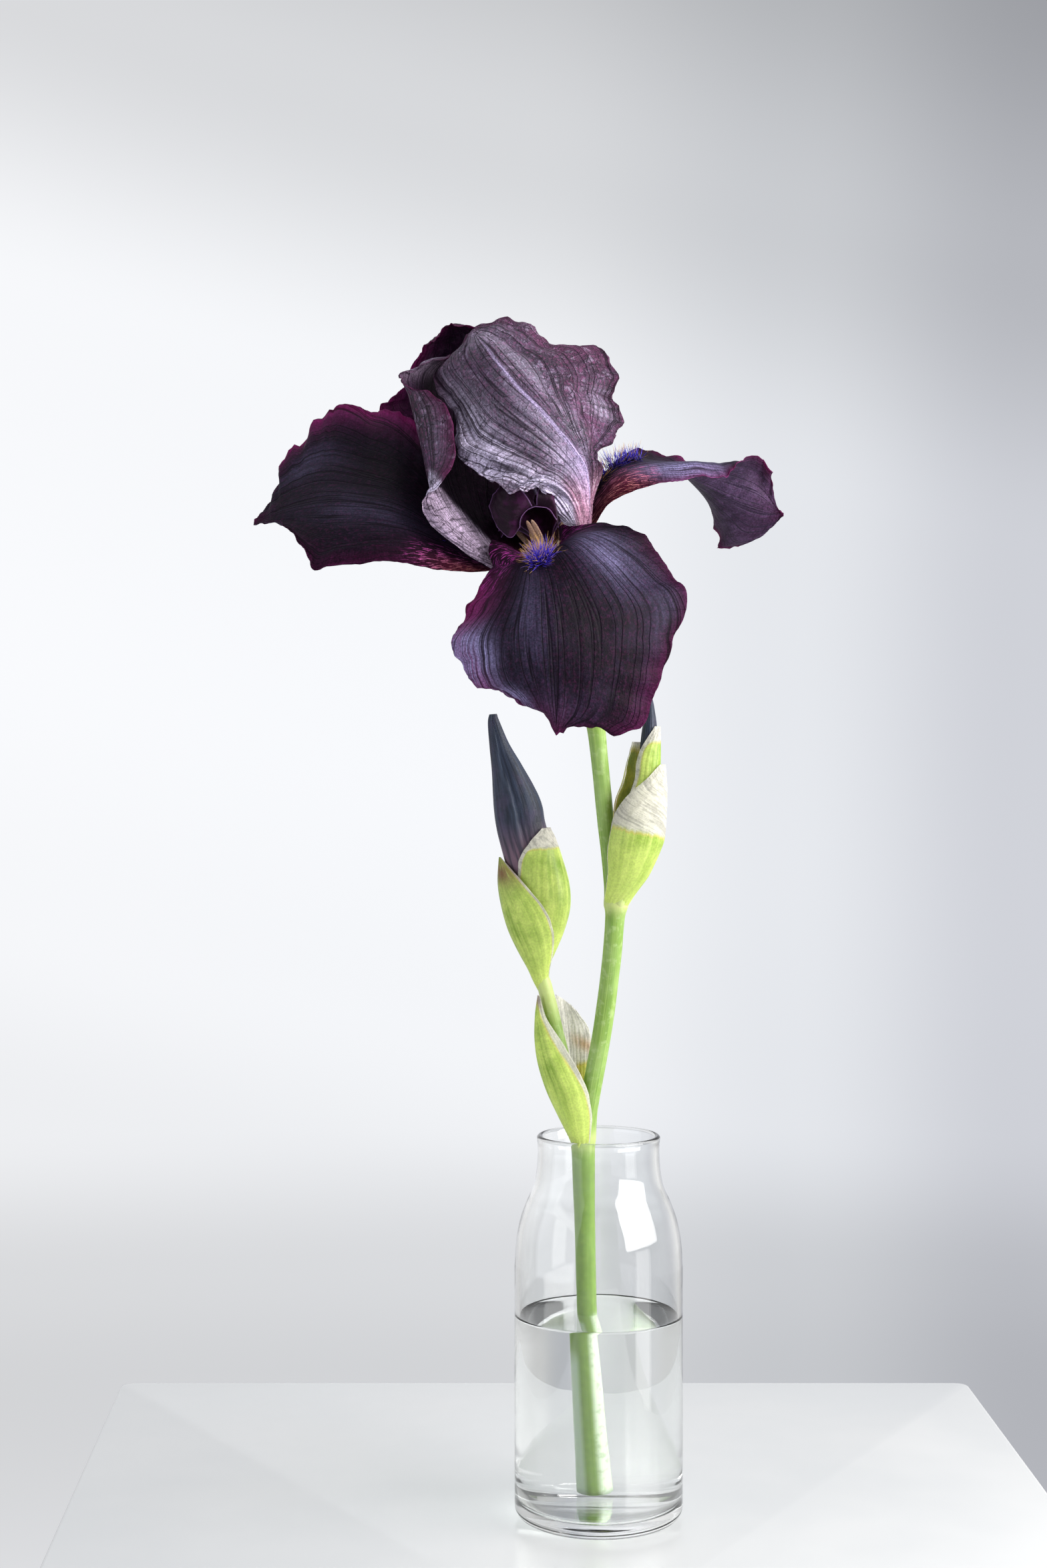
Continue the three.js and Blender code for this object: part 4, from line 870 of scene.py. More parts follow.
def hair_heap(roots, directions, lengths, radii, sag, sides=5, rings=5):
    """
    Needles: the middle runs from the root along the direction with a bend of sag times the square
    of the way along, and the radius falls from its full value to a point.
    """
    count = len(roots)
    t = np.linspace(0, 1, rings)
    middle = (roots[:, None] + directions[:, None] * (lengths[:, None] * t)[..., None]
              + sag[:, None] * (lengths[:, None] * t ** 2)[..., None])
    helper = np.where(np.abs(directions[:, 2:]) > 0.8, [[1.0, 0, 0]], [[0, 0, 1.0]])
    a = unit(np.cross(directions, helper))
    b = np.cross(directions, a)
    angle = 2 * np.pi * np.arange(sides) / sides
    radius = radii[:, None] * (1 - 0.92 * t ** 1.6)
    ring = (np.cos(angle)[None, None, :, None] * a[:, None, None]
            + np.sin(angle)[None, None, :, None] * b[:, None, None])
    points = middle[:, :, None] + radius[:, :, None, None] * ring
    ends = np.stack([middle[:, 0], middle[:, -1] + directions * radii[:, None] * 0.5], 1)
    points = np.concatenate([points.reshape(count, -1, 3), ends], 1)
    offsets = (np.arange(count) * (rings * sides + 2))[:, None, None]
    quads = (ring_quads(rings, sides)[None] + offsets).reshape(-1, 4)
    triangles = (cap_triangles(rings, sides)[None] + offsets).reshape(-1, 3)
    along = np.append(np.repeat(t, sides), [0, 1])
    return points.reshape(-1, 3), quads, triangles, np.tile(along, count)


class Nodes:
    """Shader nodes made call by call in one tree."""

    def __init__(self, tree):
        """The tree, emptied."""
        self.tree = tree
        tree.nodes.clear()

    def node(self, kind, inputs=None, **settings):
        """A node with its settings, and its sockets linked or set."""
        made = self.tree.nodes.new("ShaderNode" + kind)
        for key, value in settings.items():
            setattr(made, key, value)
        for key, value in (inputs or {}).items():
            socket = made.inputs[key]
            if isinstance(value, bpy.types.NodeSocket):
                self.tree.links.new(value, socket)
            elif isinstance(value, tuple) and socket.type == "RGBA":
                socket.default_value = (*value, 1)
            else:
                socket.default_value = value
        return made

    def math(self, operation, a, b=0.0, clamp=False):
        """One sum, by its name."""
        return self.node("Math", {0: a, 1: b}, operation=operation, use_clamp=clamp).outputs[0]

    def times(self, a, b, clamp=False):
        """a times b."""
        return self.math("MULTIPLY", a, b, clamp)

    def plus(self, a, b):
        """a plus b."""
        return self.math("ADD", a, b)

    def mix(self, factor, a, b, mode="MIX"):
        """Colour a turned into b by the factor."""
        inputs = {0: factor, 6: a, 7: b}
        return self.node("Mix", inputs, data_type="RGBA", blend_type=mode).outputs[2]

    def coats(self, colour, *layers):
        """Each layer's colour laid over those before it, by the layer's factor."""
        for factor, coat in layers:
            colour = self.mix(factor, colour, coat)
        return colour

    def between(self, x, low, high, start=0.0, end=1.0):
        """start below low, end above high, and 3t^2 - 2t^3 of the way between them."""
        inputs = {"Value": x, "From Min": low, "From Max": high, "To Min": start, "To Max": end}
        return self.node("MapRange", inputs, interpolation_type="SMOOTHSTEP").outputs[0]


class Finish(Nodes):
    """A material."""

    def __init__(self, name):
        """A new material with that name."""
        self.material = bpy.data.materials.new(name)
        self.material.use_nodes = True
        super().__init__(self.material.node_tree)
        self.here = self.node("TexCoord").outputs["Object"]

    def value(self, name):
        """A value that the mesh holds for each of its points."""
        return self.node("Attribute", attribute_name=name).outputs["Fac"]

    def noise(self, scale, detail=3.0, rough=0.55, distortion=0.0, place=None):
        """Noise of the place, in the object's own metres where no place is given."""
        inputs = {"Vector": self.here if place is None else place, "Scale": scale,
                  "Detail": detail, "Roughness": rough, "Distortion": distortion}
        return self.node("TexNoise", inputs).outputs[0]

    def drawn(self, name, across, along, detail, rough=0.5, distortion=0.0):
        """Noise of a map's place, so many times across and along."""
        place = self.node("UVMap", uv_map=name).outputs[0]
        place = self.node("Mapping", {"Vector": place, "Scale": (across, along, 1)}).outputs[0]
        return self.noise(1.0, detail, rough, distortion, place)

    def bump(self, height, distance, strength=1.0, below=None):
        """Relief of the height, in millimetres, on top of the relief below."""
        inputs = {"Height": height, "Distance": distance * MM, "Strength": strength}
        if below is not None:
            inputs["Normal"] = below
        return self.node("Bump", inputs).outputs[0]

    def surface(self, **inputs):
        """A principled surface from its sockets' names."""
        named = {key.replace("_", " "): value for key, value in inputs.items()}
        return self.node("BsdfPrincipled", named).outputs[0]

    def translucent(self, colour, normal):
        """Light that comes through from behind."""
        return self.node("BsdfTranslucent", {"Color": colour, "Normal": normal}).outputs[0]

    def done(self, shader, other=None, share=0.0):
        """The material with the shader, or with its share of the other one."""
        if other is not None:
            shader = self.node("MixShader", {0: share, 1: shader, 2: other}).outputs[0]
        self.node("OutputMaterial", {"Surface": shader})
        return self.material


def petal_finish(name, ground, deep, wine, silver, haft, dash, through, roughness, gloss, sheen,
                 grain_depth, mottle_and_crepe_shading):
    """
    Petal skin. Ground and deep alternate in soft streaks along the veins, thin dark veins are
    where a stretched noise crosses its middle, silver stands as painted sheen on the streaks where
    the skin catches light, wine comes up towards the margins, partly as their own tint and partly
    as painted glow of light coming through them, and the haft has bright dashes. Painted shade
    darkens shaded parts and the troughs of wrinkles, and the pale midrib is partly painted
    highlight. The mottle strength sets wine specks, painted highlights in silver on fine crests
    and painted shade in the cracks. A fine grain breaks all of it.
    """
    f = Finish(name)
    edge, glow, painted_sheen, claw = (f.value(key) for key in ("edge", "glow", "painted_sheen", "claw"))
    rib, painted_shade, fold, warm = (f.value(key) for key in ("rib", "painted_shade", "fold", "warm"))

    def thin_lines(across, along, width, detail):
        """1 where the stretched noise is at its middle, 0 from the width on."""
        off = f.math("SUBTRACT", f.drawn("Veins", across, along, detail, 0.5, 0.2), 0.5)
        return f.between(f.math("ABSOLUTE", off), width, 0.0)

    streaks = f.drawn("Veins", 6, 1.3, 4.0, 0.62, 0.4)
    fibres = f.drawn("Veins", 30, 3, 3.0, 0.65)
    wrinkles = f.drawn("Veins", 1.6, 72, 3.0, 0.6, 0.8)
    marks = f.drawn("Veins", 30, 24, 1.5, 0.5, 0.3)
    veins, small_veins = thin_lines(9, 0.9, 0.04, 1.0), thin_lines(22, 2.2, 0.07, 2.0)
    cloud = f.noise(85.0, 5.0, 0.62)
    crepe = f.noise(300.0, 4.0, 0.65, 0.6)
    grain = f.noise(1700.0, 2.5, 0.7)
    specks = f.noise(900.0, 3.0, 0.7)

    # Cracks are the edges of cells whose place is shaken by noise
    shake = f.node("TexNoise", {"Vector": f.here, "Scale": 160.0, "Detail": 4.0}).outputs[1]
    shake = f.node("VectorMath", {0: shake, 3: 0.012}, operation="SCALE").outputs[0]
    shaken = f.node("VectorMath", {0: f.here, 1: shake}, operation="ADD").outputs[0]
    cells = f.node("TexVoronoi", {"Vector": shaken, "Scale": 190.0}, feature="DISTANCE_TO_EDGE")
    cracks = f.times(f.between(cells.outputs[0], 0.07, 0.0), f.between(crepe, 0.4, 0.6))

    tone = f.plus(f.plus(f.times(streaks, 0.3), f.times(cloud, 0.35)), f.times(crepe, 0.35))
    # Wine at the margins: partly their own tint, partly painted glow of light coming through them
    margin = f.times(glow, f.plus(0.5, f.times(streaks, 0.8)), clamp=True)
    lit = f.between(f.plus(f.times(fibres, 0.6), f.times(cloud, 0.4)), 0.36, 0.62)
    painted_sheen_share = f.times(painted_sheen, f.plus(0.35, f.times(lit, 0.7)), clamp=True)
    dashes = f.times(f.between(marks, 0.58, 0.61), f.between(claw, 0.15, 0.5), clamp=True)
    colour = f.coats(
        f.mix(f.between(tone, 0.43, 0.57), deep, ground),
        # painted shade, darkening towards deep
        (f.times(painted_shade, 0.85), deep),
        (f.times(f.between(specks, 0.45, 0.7), mottle_and_crepe_shading), wine),
        (margin, wine),
        # painted sheen in silver
        (painted_sheen_share, silver),
        # painted shade in the troughs of the wrinkles
        (f.times(f.between(wrinkles, 0.49, 0.37), f.times(fold, 0.7)), deep),
        # painted highlights on the crests of the crepe
        (f.times(f.between(crepe, 0.53, 0.66), 0.5 * mottle_and_crepe_shading ** 2), silver),
        # painted shade in the cracks
        (f.times(cracks, 1.4 * mottle_and_crepe_shading), deep),
        (f.times(veins, 0.85), deep),
        (f.times(small_veins, 0.3), deep),
        (f.times(claw, 0.85), f.mix(warm, haft, warm_haft)),
        (f.times(dashes, 0.85), f.mix(warm, dash, warm_dash)),
        # the pale midrib, partly painted highlight along its ridge
        (f.times(rib, f.between(fibres, 0.3, 0.6, 0.5, 1.0)), rib_light),
    )
    colour = f.mix(1.0, colour, f.between(grain, 0.3, 0.7, 0.6, 1.45), "MULTIPLY")

    height = f.plus(f.plus(f.times(grain, 0.5), f.times(veins, -0.7)), f.times(fibres, 0.5))
    normal = f.bump(height, grain_depth)
    normal = f.bump(f.times(wrinkles, fold), 1.3, below=normal)
    normal = f.bump(cloud, 1.6, 0.3, below=normal)
    creases = f.math("SUBTRACT", crepe, f.times(cracks, 0.25))
    normal = f.bump(creases, 1.6, 1.2 * mottle_and_crepe_shading, below=normal)
    weight, spread, tint = sheen
    skin = f.surface(
        Base_Color=colour, Roughness=f.between(grain, 0.2, 0.8, roughness - 0.06, roughness + 0.1),
        Specular_IOR_Level=gloss, Sheen_Weight=weight, Sheen_Roughness=spread, Sheen_Tint=tint,
        Normal=normal)

    # The margins are thin, and where the painted sheen is, less light comes through
    thin = f.times(f.between(edge, 0.0, 7.0, 0.5, 0.18), f.between(painted_sheen_share, 0.0, 1.0, 1.0, 0.25))
    backlight = f.coats(through[0], (margin, through[1]), (f.times(painted_sheen_share, 0.7), silver))
    return f.done(skin, f.translucent(backlight, normal), thin)


def sheath_finish(name, green, yellow, paper, stain):
    """
    Sheath skin: green with soft lengthwise lines and yellower clouds, then dry, pale and wrinkled
    where its dryness says so, with a brown line between.
    """
    f = Finish(name)
    dryness, spot, pale = f.value("dry"), f.value("stain"), f.value("pale")
    lines = f.drawn("Lengthwise", 30, 1.2, 3.0, 0.6)
    wrinkles = f.drawn("Wrinkles", 1, 1, 3.0, 0.6, 0.5)
    cloud = f.noise(130.0, 4.0, 0.6)
    grain = f.noise(1500.0, 2.0, 0.6)
    clouded = f.plus(f.times(lines, 0.45), f.times(cloud, 0.55))
    ragged = f.plus(dryness, f.times(f.math("SUBTRACT", lines, 0.5), 0.5))
    browned = f.times(f.between(ragged, 0.25, 0.42), f.between(ragged, 0.62, 0.45))
    papery = f.between(ragged, 0.36, 0.66)
    # Paper darker in the troughs of the wrinkles: painted shade
    dark_paper = tuple(c * 0.74 for c in paper)
    colour = f.coats(
        f.mix(f.between(clouded, 0.32, 0.68), green, yellow),
        (f.times(pale, 0.8), yellow),
        (f.times(browned, 0.6), straw_brown),
        (papery, f.mix(f.between(wrinkles, 0.38, 0.54), dark_paper, paper)),
        (f.times(spot, f.between(wrinkles, 0.25, 0.5)), stain),
    )
    colour = f.mix(1.0, colour, f.between(grain, 0.3, 0.7, 0.9, 1.08), "MULTIPLY")
    normal = f.bump(lines, 0.12, 0.6)
    normal = f.bump(wrinkles, 0.6, f.times(papery, 0.8), below=normal)
    skin = f.surface(Base_Color=colour, Roughness=f.between(papery, 0.0, 1.0, 0.36, 0.7),
                     Specular_IOR_Level=0.4, Normal=normal)
    return f.done(skin, f.translucent(colour, normal), f.between(papery, 0.0, 1.0, 0.42, 0.55))


def stalk_finish():
    """
    Stalk skin: green with pale lengthwise lines and a waxy bloom, yellower at the nodes. It is
    darker in the bottle, painted shade of the glass, and in water it has a painted highlight band
    on the right and a milky band on the left. height and sideways are in metres.
    """
    f = Finish("stalk_skin")
    lines = f.drawn("Lengthwise", 42, 0.02, 2.0)
    spots = f.noise(420.0)
    cloud = f.noise(60.0)
    place = f.node("SeparateXYZ", {"Vector": f.here}).outputs
    height = place[2]
    sideways = f.plus(place[0], f.times(height, 0.06))
    painted_highlight_in_water = f.times(f.between(sideways, 0.0005, 0.0024), f.between(height, 0.071, 0.066))
    milky_band = f.times(f.between(sideways, -0.0010, -0.0024), f.between(height, 0.060, 0.052))
    colour = f.coats(
        f.mix(f.between(lines, 0.40, 0.66), (0.185, 0.325, 0.048), (0.275, 0.425, 0.085)),
        (f.times(f.between(spots, 0.5, 0.7), 0.4), (0.50, 0.62, 0.30)),
        (f.times(f.between(cloud, 0.42, 0.7), 0.45), (0.44, 0.60, 0.24)),
        (f.times(f.value("node"), 0.7), (0.62, 0.70, 0.26)),
        # painted shade inside the bottle: darker greens below its shoulder
        (f.between(height, 0.138, 0.118), f.mix(spots, (0.10, 0.19, 0.022), (0.20, 0.32, 0.06))),
        # painted highlight on the right side in water
        (f.times(painted_highlight_in_water, f.between(spots, 0.3, 0.5, 0.55, 0.9)), (0.66, 0.76, 0.60)),
        (f.times(milky_band, 0.75), (0.42, 0.52, 0.40)),
    )
    normal = f.bump(spots, 0.1, 0.4, below=f.bump(lines, 0.1, 0.6))
    return f.done(f.surface(
        Base_Color=colour, Roughness=f.between(spots, 0.3, 0.7, 0.32, 0.5), Specular_IOR_Level=0.5,
        Subsurface_Weight=0.25, Subsurface_Radius=(0.5, 1.0, 0.2), Subsurface_Scale=1.2 * MM,
        Normal=normal))


def bud_finish():
    """Rolled bud petals: slate navy, plum at the foot, faintly paler along the rolled edges."""
    f = Finish("bud_skin")
    lines = f.drawn("Lengthwise", 30, 0.05, 2.0, 0.6)
    cloud = f.noise(160.0, 4.0)
    grain = f.noise(1800.0, 2.0)
    foot = f.times(f.between(f.value("along"), 0.60, 0.42), f.between(lines, 0.4, 0.6, 0.3, 1.0))
    colour = f.coats(
        f.mix(f.between(lines, 0.35, 0.65), (0.010, 0.014, 0.028), (0.028, 0.039, 0.072)),
        (f.times(f.between(cloud, 0.46, 0.75), 0.4), (0.08, 0.05, 0.12)),
        (f.times(f.value("roll"), 0.12), (0.16, 0.21, 0.30)),
        (foot, (0.17, 0.10, 0.14)),
    )
    return f.done(f.surface(
        Base_Color=colour, Roughness=f.between(grain, 0.3, 0.7, 0.42, 0.6), Specular_IOR_Level=0.3,
        Sheen_Weight=0.10, Sheen_Roughness=0.4, Sheen_Tint=(0.5, 0.6, 0.85),
        Normal=f.bump(f.plus(lines, f.times(grain, 0.3)), 0.22, 0.7)))


def clear_finish(name, colour, ior, roughest, scale, depth):
    """Clear glass or water, with the faintest waviness. Shadow rays pass straight through."""
    f = Finish(name)
    wave = f.noise(scale, 2.0)
    tint = f.mix(f.between(wave, 0.3, 0.7), colour, tuple(min(1, c * 1.02) for c in colour))
    clear = f.surface(Base_Color=tint, Roughness=f.between(wave, 0.3, 0.7, 0.0, roughest), IOR=ior,
                      Transmission_Weight=1.0, Normal=f.bump(wave, depth, 0.4))
    open_way = f.node("BsdfTransparent", {"Color": tuple(0.9 * c for c in colour)}).outputs[0]
    return f.done(clear, open_way, f.node("LightPath").outputs["Is Shadow Ray"])


def style_finish():
    """Style arm and crest: dark wine with violet edges and fine darker lines."""
    f = Finish("style_skin")
    lines = f.drawn("Veins", 46, 3, 2.0, 0.6)
    colour = f.coats(
        f.mix(f.between(lines, 0.35, 0.65), (0.005, 0.0015, 0.006), (0.022, 0.0045, 0.019)),
        (f.times(f.between(f.noise(220.0), 0.5, 0.68), 0.7), (0.075, 0.011, 0.068)),
        (f.between(f.value("edge"), 0.5, 0.0), (0.24, 0.12, 0.30)),
    )
    normal = f.bump(lines, 0.25, 0.8)
    skin = f.surface(Base_Color=colour, Roughness=f.between(lines, 0.3, 0.7, 0.34, 0.5),
                     Specular_IOR_Level=0.18, Sheen_Weight=0.03, Sheen_Roughness=0.4,
                     Sheen_Tint=(0.6, 0.4, 0.8), Normal=normal)
    return f.done(skin, f.translucent((0.35, 0.02, 0.2), normal), 0.22)


def stamen_finish():
    """Anthers tan and mealy, filaments whitish with a violet blush."""
    f = Finish("stamen_skin")
    meal = f.noise(2600.0)
    tan = f.mix(f.between(meal, 0.35, 0.65), (0.44, 0.25, 0.17), (0.70, 0.45, 0.34))
    blush = f.between(f.noise(500.0, 2.0), 0.4, 0.7)
    white = f.mix(blush, (0.55, 0.42, 0.5), (0.75, 0.68, 0.6))
    return f.done(f.surface(
        Base_Color=f.mix(f.between(f.value("along"), 0.9, 1.1), white, tan),
        Roughness=f.between(meal, 0.3, 0.7, 0.6, 0.85), Normal=f.bump(meal, 0.12, 0.8)))


def beard_finish():
    """Beard hairs: violet-blue, golden brown where the hair's own tint says so."""
    f = Finish("beard_hair")
    along, tint = f.value("along"), f.value("tint")
    fleck = f.noise(1500.0, 2.0)
    violet = f.coats(
        f.mix(f.between(fleck, 0.35, 0.65), (0.03, 0.012, 0.36), (0.09, 0.05, 0.68)),
        # painted shade towards each hair's root
        (f.between(along, 0.55, 0.1), (0.012, 0.005, 0.05)),
        (f.between(along, 0.7, 1.0, 0.0, 0.25), (0.36, 0.30, 0.86)),
    )
    gold = f.mix(f.between(along, 0.3, 0.75), (0.045, 0.018, 0.10), (0.58, 0.33, 0.09))
    tipped = f.times(f.between(tint, 0.0, 0.45), f.between(along, 0.70, 0.84))
    return f.done(f.surface(
        Base_Color=f.mix(f.math("MAXIMUM", f.between(tint, 0.5, 0.9), tipped), violet, gold),
        Roughness=f.between(fleck, 0.3, 0.7, 0.4, 0.6), Specular_IOR_Level=0.4))


# The midrib's pale tone, partly painted highlight
rib_light = (0.62, 0.50, 0.84)
warm_haft, warm_dash = (0.13, 0.013, 0.036), (0.95, 0.36, 0.32)
straw_brown = (0.80, 0.66, 0.20)
fall_upper = petal_finish(
    "fall_velvet", ground=(0.0145, 0.008, 0.0225), deep=(0.004, 0.002, 0.006),
    wine=(0.25, 0.028, 0.16), silver=(0.36, 0.325, 0.62), haft=(0.028, 0.004, 0.018),
    dash=(0.60, 0.07, 0.46), through=((0.030, 0.003, 0.024), (0.70, 0.05, 0.42)), roughness=0.5,
    gloss=0.08, sheen=(0.025, 0.35, (0.55, 0.5, 0.95)), grain_depth=0.22, mottle_and_crepe_shading=0.10)
fall_under = petal_finish(
    "fall_underside", ground=(0.070, 0.040, 0.095), deep=(0.022, 0.012, 0.034),
    wine=(0.13, 0.03, 0.11), silver=(0.26, 0.22, 0.36), haft=(0.12, 0.016, 0.020),
    dash=(0.85, 0.28, 0.16), through=((0.06, 0.008, 0.05), (0.42, 0.03, 0.26)), roughness=0.5,
    gloss=0.15, sheen=(0.05, 0.4, (0.6, 0.5, 0.9)), grain_depth=0.22, mottle_and_crepe_shading=0.2)
standard_outer = petal_finish(
    "standard_outside", ground=(0.088, 0.044, 0.104), deep=(0.014, 0.007, 0.017),
    wine=(0.24, 0.045, 0.16), silver=(0.82, 0.73, 1.0), haft=(0.60, 0.27, 0.42),
    dash=(0.80, 0.6, 0.75), through=((0.08, 0.03, 0.09), (0.46, 0.04, 0.28)), roughness=0.46,
    gloss=0.2, sheen=(0.03, 0.4, (0.8, 0.7, 1.0)), grain_depth=0.3, mottle_and_crepe_shading=0.6)
standard_inner = petal_finish(
    "standard_inside", ground=(0.032, 0.010, 0.036), deep=(0.006, 0.002, 0.008),
    wine=(0.16, 0.02, 0.11), silver=(0.90, 0.70, 0.97), haft=(0.10, 0.02, 0.04),
    dash=(0.4, 0.05, 0.2), through=((0.05, 0.008, 0.04), (0.44, 0.03, 0.28)), roughness=0.5,
    gloss=0.07, sheen=(0.015, 0.4, (0.7, 0.5, 0.9)), grain_depth=0.25, mottle_and_crepe_shading=0.15)
green_sheath = sheath_finish(
    "green_sheath_skin", green=(0.29, 0.49, 0.045), yellow=(0.86, 0.98, 0.29),
    paper=(0.93, 0.91, 0.84), stain=(0.30, 0.11, 0.06))
papery_sheath = sheath_finish(
    "papery_sheath_skin", green=(0.40, 0.50, 0.20), yellow=(0.84, 0.80, 0.22),
    paper=(0.95, 0.93, 0.88), stain=(0.62, 0.36, 0.14))
stalk_skin = stalk_finish()
bud_skin = bud_finish()
style_skin = style_finish()
stamen_skin = stamen_finish()
beard_hair = beard_finish()
glass = clear_finish("bottle_glass", (0.975, 0.985, 0.982), 1.5, 0.02, 60.0, 0.15)
water_clear = clear_finish("vase_water", (0.985, 0.995, 0.99), 1.333, 0.01, 40.0, 0.05)


def petal_values(name, sheet):
    """
    How far each point is from the edge, and the petal's own patches. glow is wine light, e to the
    minus distance over about 2.4 mm, partly the margin's own tint and partly painted glow. The
    sheen value is painted silver sheen, claw the haft, rib the midrib, whose pale tone is partly
    painted highlight, the shade value is painted shade, fold the wrinkled part, whose troughs get
    painted shade, and warm the orange part. The listed patches are added to each.
    """
    u, v, side, edge = sheet.u, sheet.v, sheet.side, sheet.edge
    none = 0 * edge
    fan = side / (u + 0.1) ** 0.9
    rough = layered_noise(side * 7 + 9, u * 9 + 3, 31)
    glow = np.exp(-edge / (2.4 + 1.2 * rough)) * smooth(0.3, 0.5, u)
    painted_sheen, rib, painted_shade, warm = none, none, none, none
    fold = 0.6 * np.exp(-edge / 6) * smooth(0.2, 0.4, u)
    claw = bump_at(u, 0.02, 0.14)
    if name == "fall_front":
        glow = glow * (0.85 - 0.45 * smooth(0.7, 0.95, v)) * smooth(0.36, 0.56, u)
        claw = bump_at(u, 0.04, 0.12)
    elif name == "fall_left":
        glow = glow * (0.3 + 0.7 * smooth(0.3, 0.7, v))
        # painted shade over most of this fall
        painted_shade = 0.9 * smooth(1.02, 0.7, v) * smooth(1.0, 0.8, u)
        claw = bump_at(u, 0.05, 0.1)
    elif name == "fall_right":
        claw = np.maximum(smooth(0.46, 0.28, u) * smooth(0.46, 0.22, v), 0.8 * smooth(0.2, 0.1, u))
        warm = smooth(0.50, 0.26, u) * bump_at(v, 0.0, 0.34)
    elif name == "standard_right":
        rib = bump_at(v, 0.5 + 0.012 * np.sin(9 * u), 0.006 + 0.011 * (1 - u))
        rib = rib * smooth(1.0, 0.7, u) * (0.9 + 0.2 * rough)
        # a faint painted sheen all over
        painted_sheen = 0.04
        glow = glow * 0.5
        claw = smooth(0.40, 0.24, u) * smooth(0.16, 0.30, v)
    elif name == "standard_left":
        # The low margin curls over as far across as limit says
        limit = np.interp(u, [0.2, 0.31, 0.41, 0.50, 0.56], [0.68, 0.64, 0.60, 0.54, 0.30])
        curl = smooth(limit + 0.05, limit - 0.05, v)
        curl = curl * smooth(0.05, 0.15, u) * smooth(0.59, 0.52, u)
        # painted sheen on the curled margin
        painted_sheen = 3.4 * curl
        fold = fold + 0.9 * curl
        glow = glow * (1 - 0.6 * smooth(0.55, 0.3, u))
        # painted shade on the inner face beyond the curl and over the far half
        painted_shade = 0.95 * smooth(limit, limit + 0.1, v) * smooth(0.75, 0.6, u)
        painted_shade = painted_shade + 0.5 * smooth(0.42, 0.6, v)
    elif name == "standard_back":
        rib = 0.3 * bump_at(v, 0.5, 0.02) * smooth(0.95, 0.5, u)
        # painted shade over the whole back standard
        painted_shade = 0.75
    values = {"glow": glow, "painted_sheen": painted_sheen, "claw": claw, "rib": rib, "painted_shade": painted_shade, "fold": fold,
              "warm": warm}
    for key, patches in petal_patches[name].items():
        for strength, at_u, at_v, wide_u, wide_v in patches:
            patch = strength * bump_at(u, at_u, wide_u) * bump_at(v, at_v, wide_v)
            values[key] = values[key] + patch
    return fan, {"edge": edge, **{key: np.clip(value, 0, 1) for key, value in values.items()}}


def margin_shift(name, u, side):
    """The listed shifts of each margin, let in from it by the 2.2th power of the way across."""
    shift = 0
    for hand, key in ((-1, "low"), (1, "high")):
        if key not in petal_margins[name]:
            continue
        way, across, up = np.array(petal_margins[name][key], float).T
        across, up = np.interp(u[:, 0], way, across), np.interp(u[:, 0], way, up)
        reach = np.clip(hand * side, 0, 1) ** 2.2
        shift = shift + np.stack([across, 0 * across, up], 1)[:, None, :] * reach[..., None]
    return shift


def margin_frills(name, sheet, seed):
    """
    Waves along each margin: noise of the margin's length over the wave's width, times the height,
    times e to the minus distance from the margin over the reach.
    """
    u, total = sheet.u, 0 * sheet.edge
    for hand, key in ((0, "low"), (1, "high")):
        inward = sheet.from_high if hand else sheet.from_low
        margin = sheet.points[:, -1 if hand else 0]
        length = np.cumsum(np.linalg.norm(np.diff(margin, axis=0), axis=1))
        length = np.pad(length, (1, 0))[:, None]
        for k, (which, start, end, wide, height, reach) in enumerate(petal_frills[name]):
            if which not in (key, "both"):
                continue
            drift = 0.25 * inward / wide
            own_seed = seed + 60 + 5 * k + hand
            wave = value_noise(2.2 * length / wide + drift, 3.0 + drift * 0.3, own_seed)
            spread = smooth(start, start + 0.1, u) * smooth(end + 0.02, end - 0.06, u)
            total = total + height * 1.6 * wave * spread * np.exp(-inward / reach)
    return total


def ruffle_of(ruffle, u, side):
    """Depth times |side| cubed, times half a sine along the margin, times the wave's sine."""
    depth, waves, phase = (np.where(side < 0, *pair) for pair in zip(ruffle[:3], ruffle[3:]))
    spread = np.sin(np.pi * np.clip((u - 0.3) / 0.68, 0, 1))
    return depth * np.abs(side) ** 3 * spread * np.sin(2 * np.pi * waves * u + phase)


